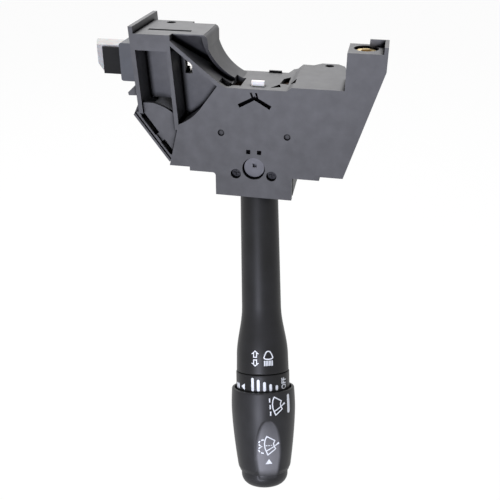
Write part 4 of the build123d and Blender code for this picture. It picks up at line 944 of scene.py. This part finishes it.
# %% Index line and windscreen signs
GLASS = [(5.2, 2.5), (4.4, 3.0), (3.5, 3.4), (1.6, 3.7), (-0.6, 3.5), (-2.4, 2.85),
         (-0.25, -1.15), (1.4, -0.9), (2.8, -1.6)]
BLADE = [(-2.4, 2.85), (-4.4, 1.95), (-1.5, -2.05), (-0.25, -1.15)]
ARM = [(-0.2, -1.2), (0.9, -3.0)]
ARM_END = [(0.75, -2.75), (1.4, -3.8)]
SIGN_LINE, ARM_END_LINE = 0.58, 0.95
DASH, DASH_HALF = 0.68, 1.1
INDEX_W, INDEX_HALF = 1.9, 5.1
PAUSE_DASHES = ((3.7, 5.15), (0.15, 4.95), (-3.35, 4.8))
SPRAY = [[(3.75, 3.1), (3.65, 3.9), (3.45, 4.5)], [(3.05, 5.15), (2.5, 5.6), (1.9, 5.8)],
         [(1.2, 5.8), (0.75, 5.45), (0.35, 4.8)]]
DROP_Y, DROP_R = 4.2, 0.36
JET_X, JET_HALF, JET_LINE = 0.5, 0.4, 0.45
JET_MIDDLES = (1.6, 0.3, -1.0)


def windscreen(scale=1.0, sink=0.0):
    """Windscreen, wide edge up, with the blade at its left end and the arm below."""
    lines = ((GLASS, SIGN_LINE, True), (BLADE, SIGN_LINE, True), (ARM, SIGN_LINE, False),
             (ARM_END, ARM_END_LINE, False))
    shapes = []
    for points, width, closed in lines:
        placed = [(x * scale, y * scale - sink) for x, y in points]
        shapes.append(filled(stroke(placed, width, closed)))
    return shapes


index_line = [filled(bar(0, -INDEX_HALF, INDEX_HALF, INDEX_W))]
printed("index_line", index_line, 135.7, 59.0, knob_surface, "knob")

pause_sign = windscreen()
for middle, y in PAUSE_DASHES:
    pause_sign.append(filled(stroke([(middle - DASH_HALF, y), (middle + DASH_HALF, y)], DASH)))
printed("pause_sign", pause_sign, 136.2, 37.0, knob_surface, "knob", turned=90.0)

washer_sign = windscreen(scale=1.07, sink=1.2)
for side in (1, -1):
    for dash in SPRAY:
        washer_sign.append(filled(stroke([(x * side, y) for x, y in dash], DASH)))
washer_sign.append(filled([arc(0, DROP_Y, DROP_R, 0, 330, 8)]))
for middle in JET_MIDDLES:
    jet = [(JET_X, middle - JET_HALF), (JET_X, middle + JET_HALF)]
    washer_sign.append(filled(stroke(jet, JET_LINE)))
printed("washer_sign", washer_sign, 157.6, 19.5, knob_surface, "knob", turned=90.0)
push_triangle = [filled([[(0, 1.7), (1.85, -1.15), (-1.85, -1.15)]])]
printed("push_triangle", push_triangle, 166.3, 18.4, knob_surface, "knob")

# %% [markdown]
# ## Floor and background
# The photograph was taken on a white ground. A large pale sheet well below the switch keeps a
# faint shadow. It looks white to the camera by a light of its own, which reaches only the camera
# and the rays that are mirrored or pass through something clear, so it puts no light on the
# switch but shows in its surfaces. The world is made white in the same way, so that the matt
# plastics mirror white from every side, as they do in the photograph.

# %% White that is seen but gives no light
WHITE = (1.0, 1.0, 1.0, 1.0)
FLOOR_DROP_M, FLOOR_HALF_M = 0.12, 6.0
FLOOR_OWN_LIGHT = 0.96
FILL_LIGHT = 0.2


def seen_directly(owner):
    """1 for camera, glossy and transmission rays, and 0 for light that falls on matt surfaces."""
    rays = add(owner, "LightPath").outputs
    mirrored = add(owner, "Math", {0: rays["Is Camera Ray"], 1: rays["Is Glossy Ray"]},
                   operation="MAXIMUM")
    return add(owner, "Math", {0: mirrored.outputs[0], 1: rays["Is Transmission Ray"]},
               operation="MAXIMUM").outputs[0]


low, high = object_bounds()
floor_z = low[2] - FLOOR_DROP_M
corners = [(-FLOOR_HALF_M, -FLOOR_HALF_M), (FLOOR_HALF_M, -FLOOR_HALF_M),
           (FLOOR_HALF_M, FLOOR_HALF_M), (-FLOOR_HALF_M, FLOOR_HALF_M)]
floor_data = bpy.data.meshes.new("floor")
floor_data.from_pydata([(x, y, floor_z) for x, y in corners], [], [(0, 1, 2, 3)])

paper, paper_shader = start("white paper ground", Roughness=0.9)
paper_shader.inputs["Base Color"].default_value = linear("#f4f4f4")
share = add(paper, "Math", {0: seen_directly(paper), 1: FLOOR_OWN_LIGHT}, operation="MULTIPLY")
white = add(paper, "Emission", {"Color": WHITE, "Strength": 1.0})
blend = add(paper, "MixShader", {0: share.outputs[0], 1: paper_shader.outputs[0],
                                 2: white.outputs[0]})
join(paper, blend.outputs[0], paper.node_tree.nodes["Material Output"], "Surface")
in_scene("floor", floor_data, paper)

world = bpy.data.worlds.new("studio")
bpy.context.scene.world = world
world.use_nodes = True
fill = world.node_tree.nodes["Background"]
fill.inputs["Color"].default_value = WHITE
fill.inputs["Strength"].default_value = FILL_LIGHT
backdrop = add(world, "Background", {"Color": WHITE, "Strength": 1.0})
sky = add(world, "MixShader", {0: seen_directly(world), 1: fill.outputs[0], 2: backdrop.outputs[0]})
join(world, sky.outputs[0], world.node_tree.nodes["World Output"], "Surface")
print("floor at", round(floor_z / MM, 1), "mm")

# %% [markdown]
# ## Lamps
# Broad soft light comes from above and a little behind, which makes the top faces the brightest.
# A small, slightly blue lamp at the front lights the front face and reaches into the two bays at
# the left, where a lamp from the side would only throw the wall's shadow.

# %% Two soft lamps
CENTRE = (Vector(low) + Vector(high)) / 2


def softbox(name, place, size, power, colour=WHITE[:3]):
    """A square lamp that faces the switch; place is from its middle, in metres."""
    light = bpy.data.lights.new(name, "AREA")
    light.shape = "SQUARE"
    light.size = size
    light.energy = power
    light.color = colour
    lamp_object = bpy.data.objects.new(name, light)
    bpy.context.scene.collection.objects.link(lamp_object)
    lamp_object.location = CENTRE + Vector(place)
    to_switch = CENTRE - lamp_object.location
    lamp_object.rotation_euler = to_switch.to_track_quat("-Z", "Y").to_euler()


softbox("top_softbox", (-0.2, 0.35, 0.85), size=0.9, power=17.0)
softbox("front_softbox", (-0.1, -1.05, 0.08), size=0.3, power=10.0, colour=(0.83, 0.85, 1.0))
bpy.context.scene.view_settings.view_transform = "Standard"
print("lamps:", len(bpy.data.lights))
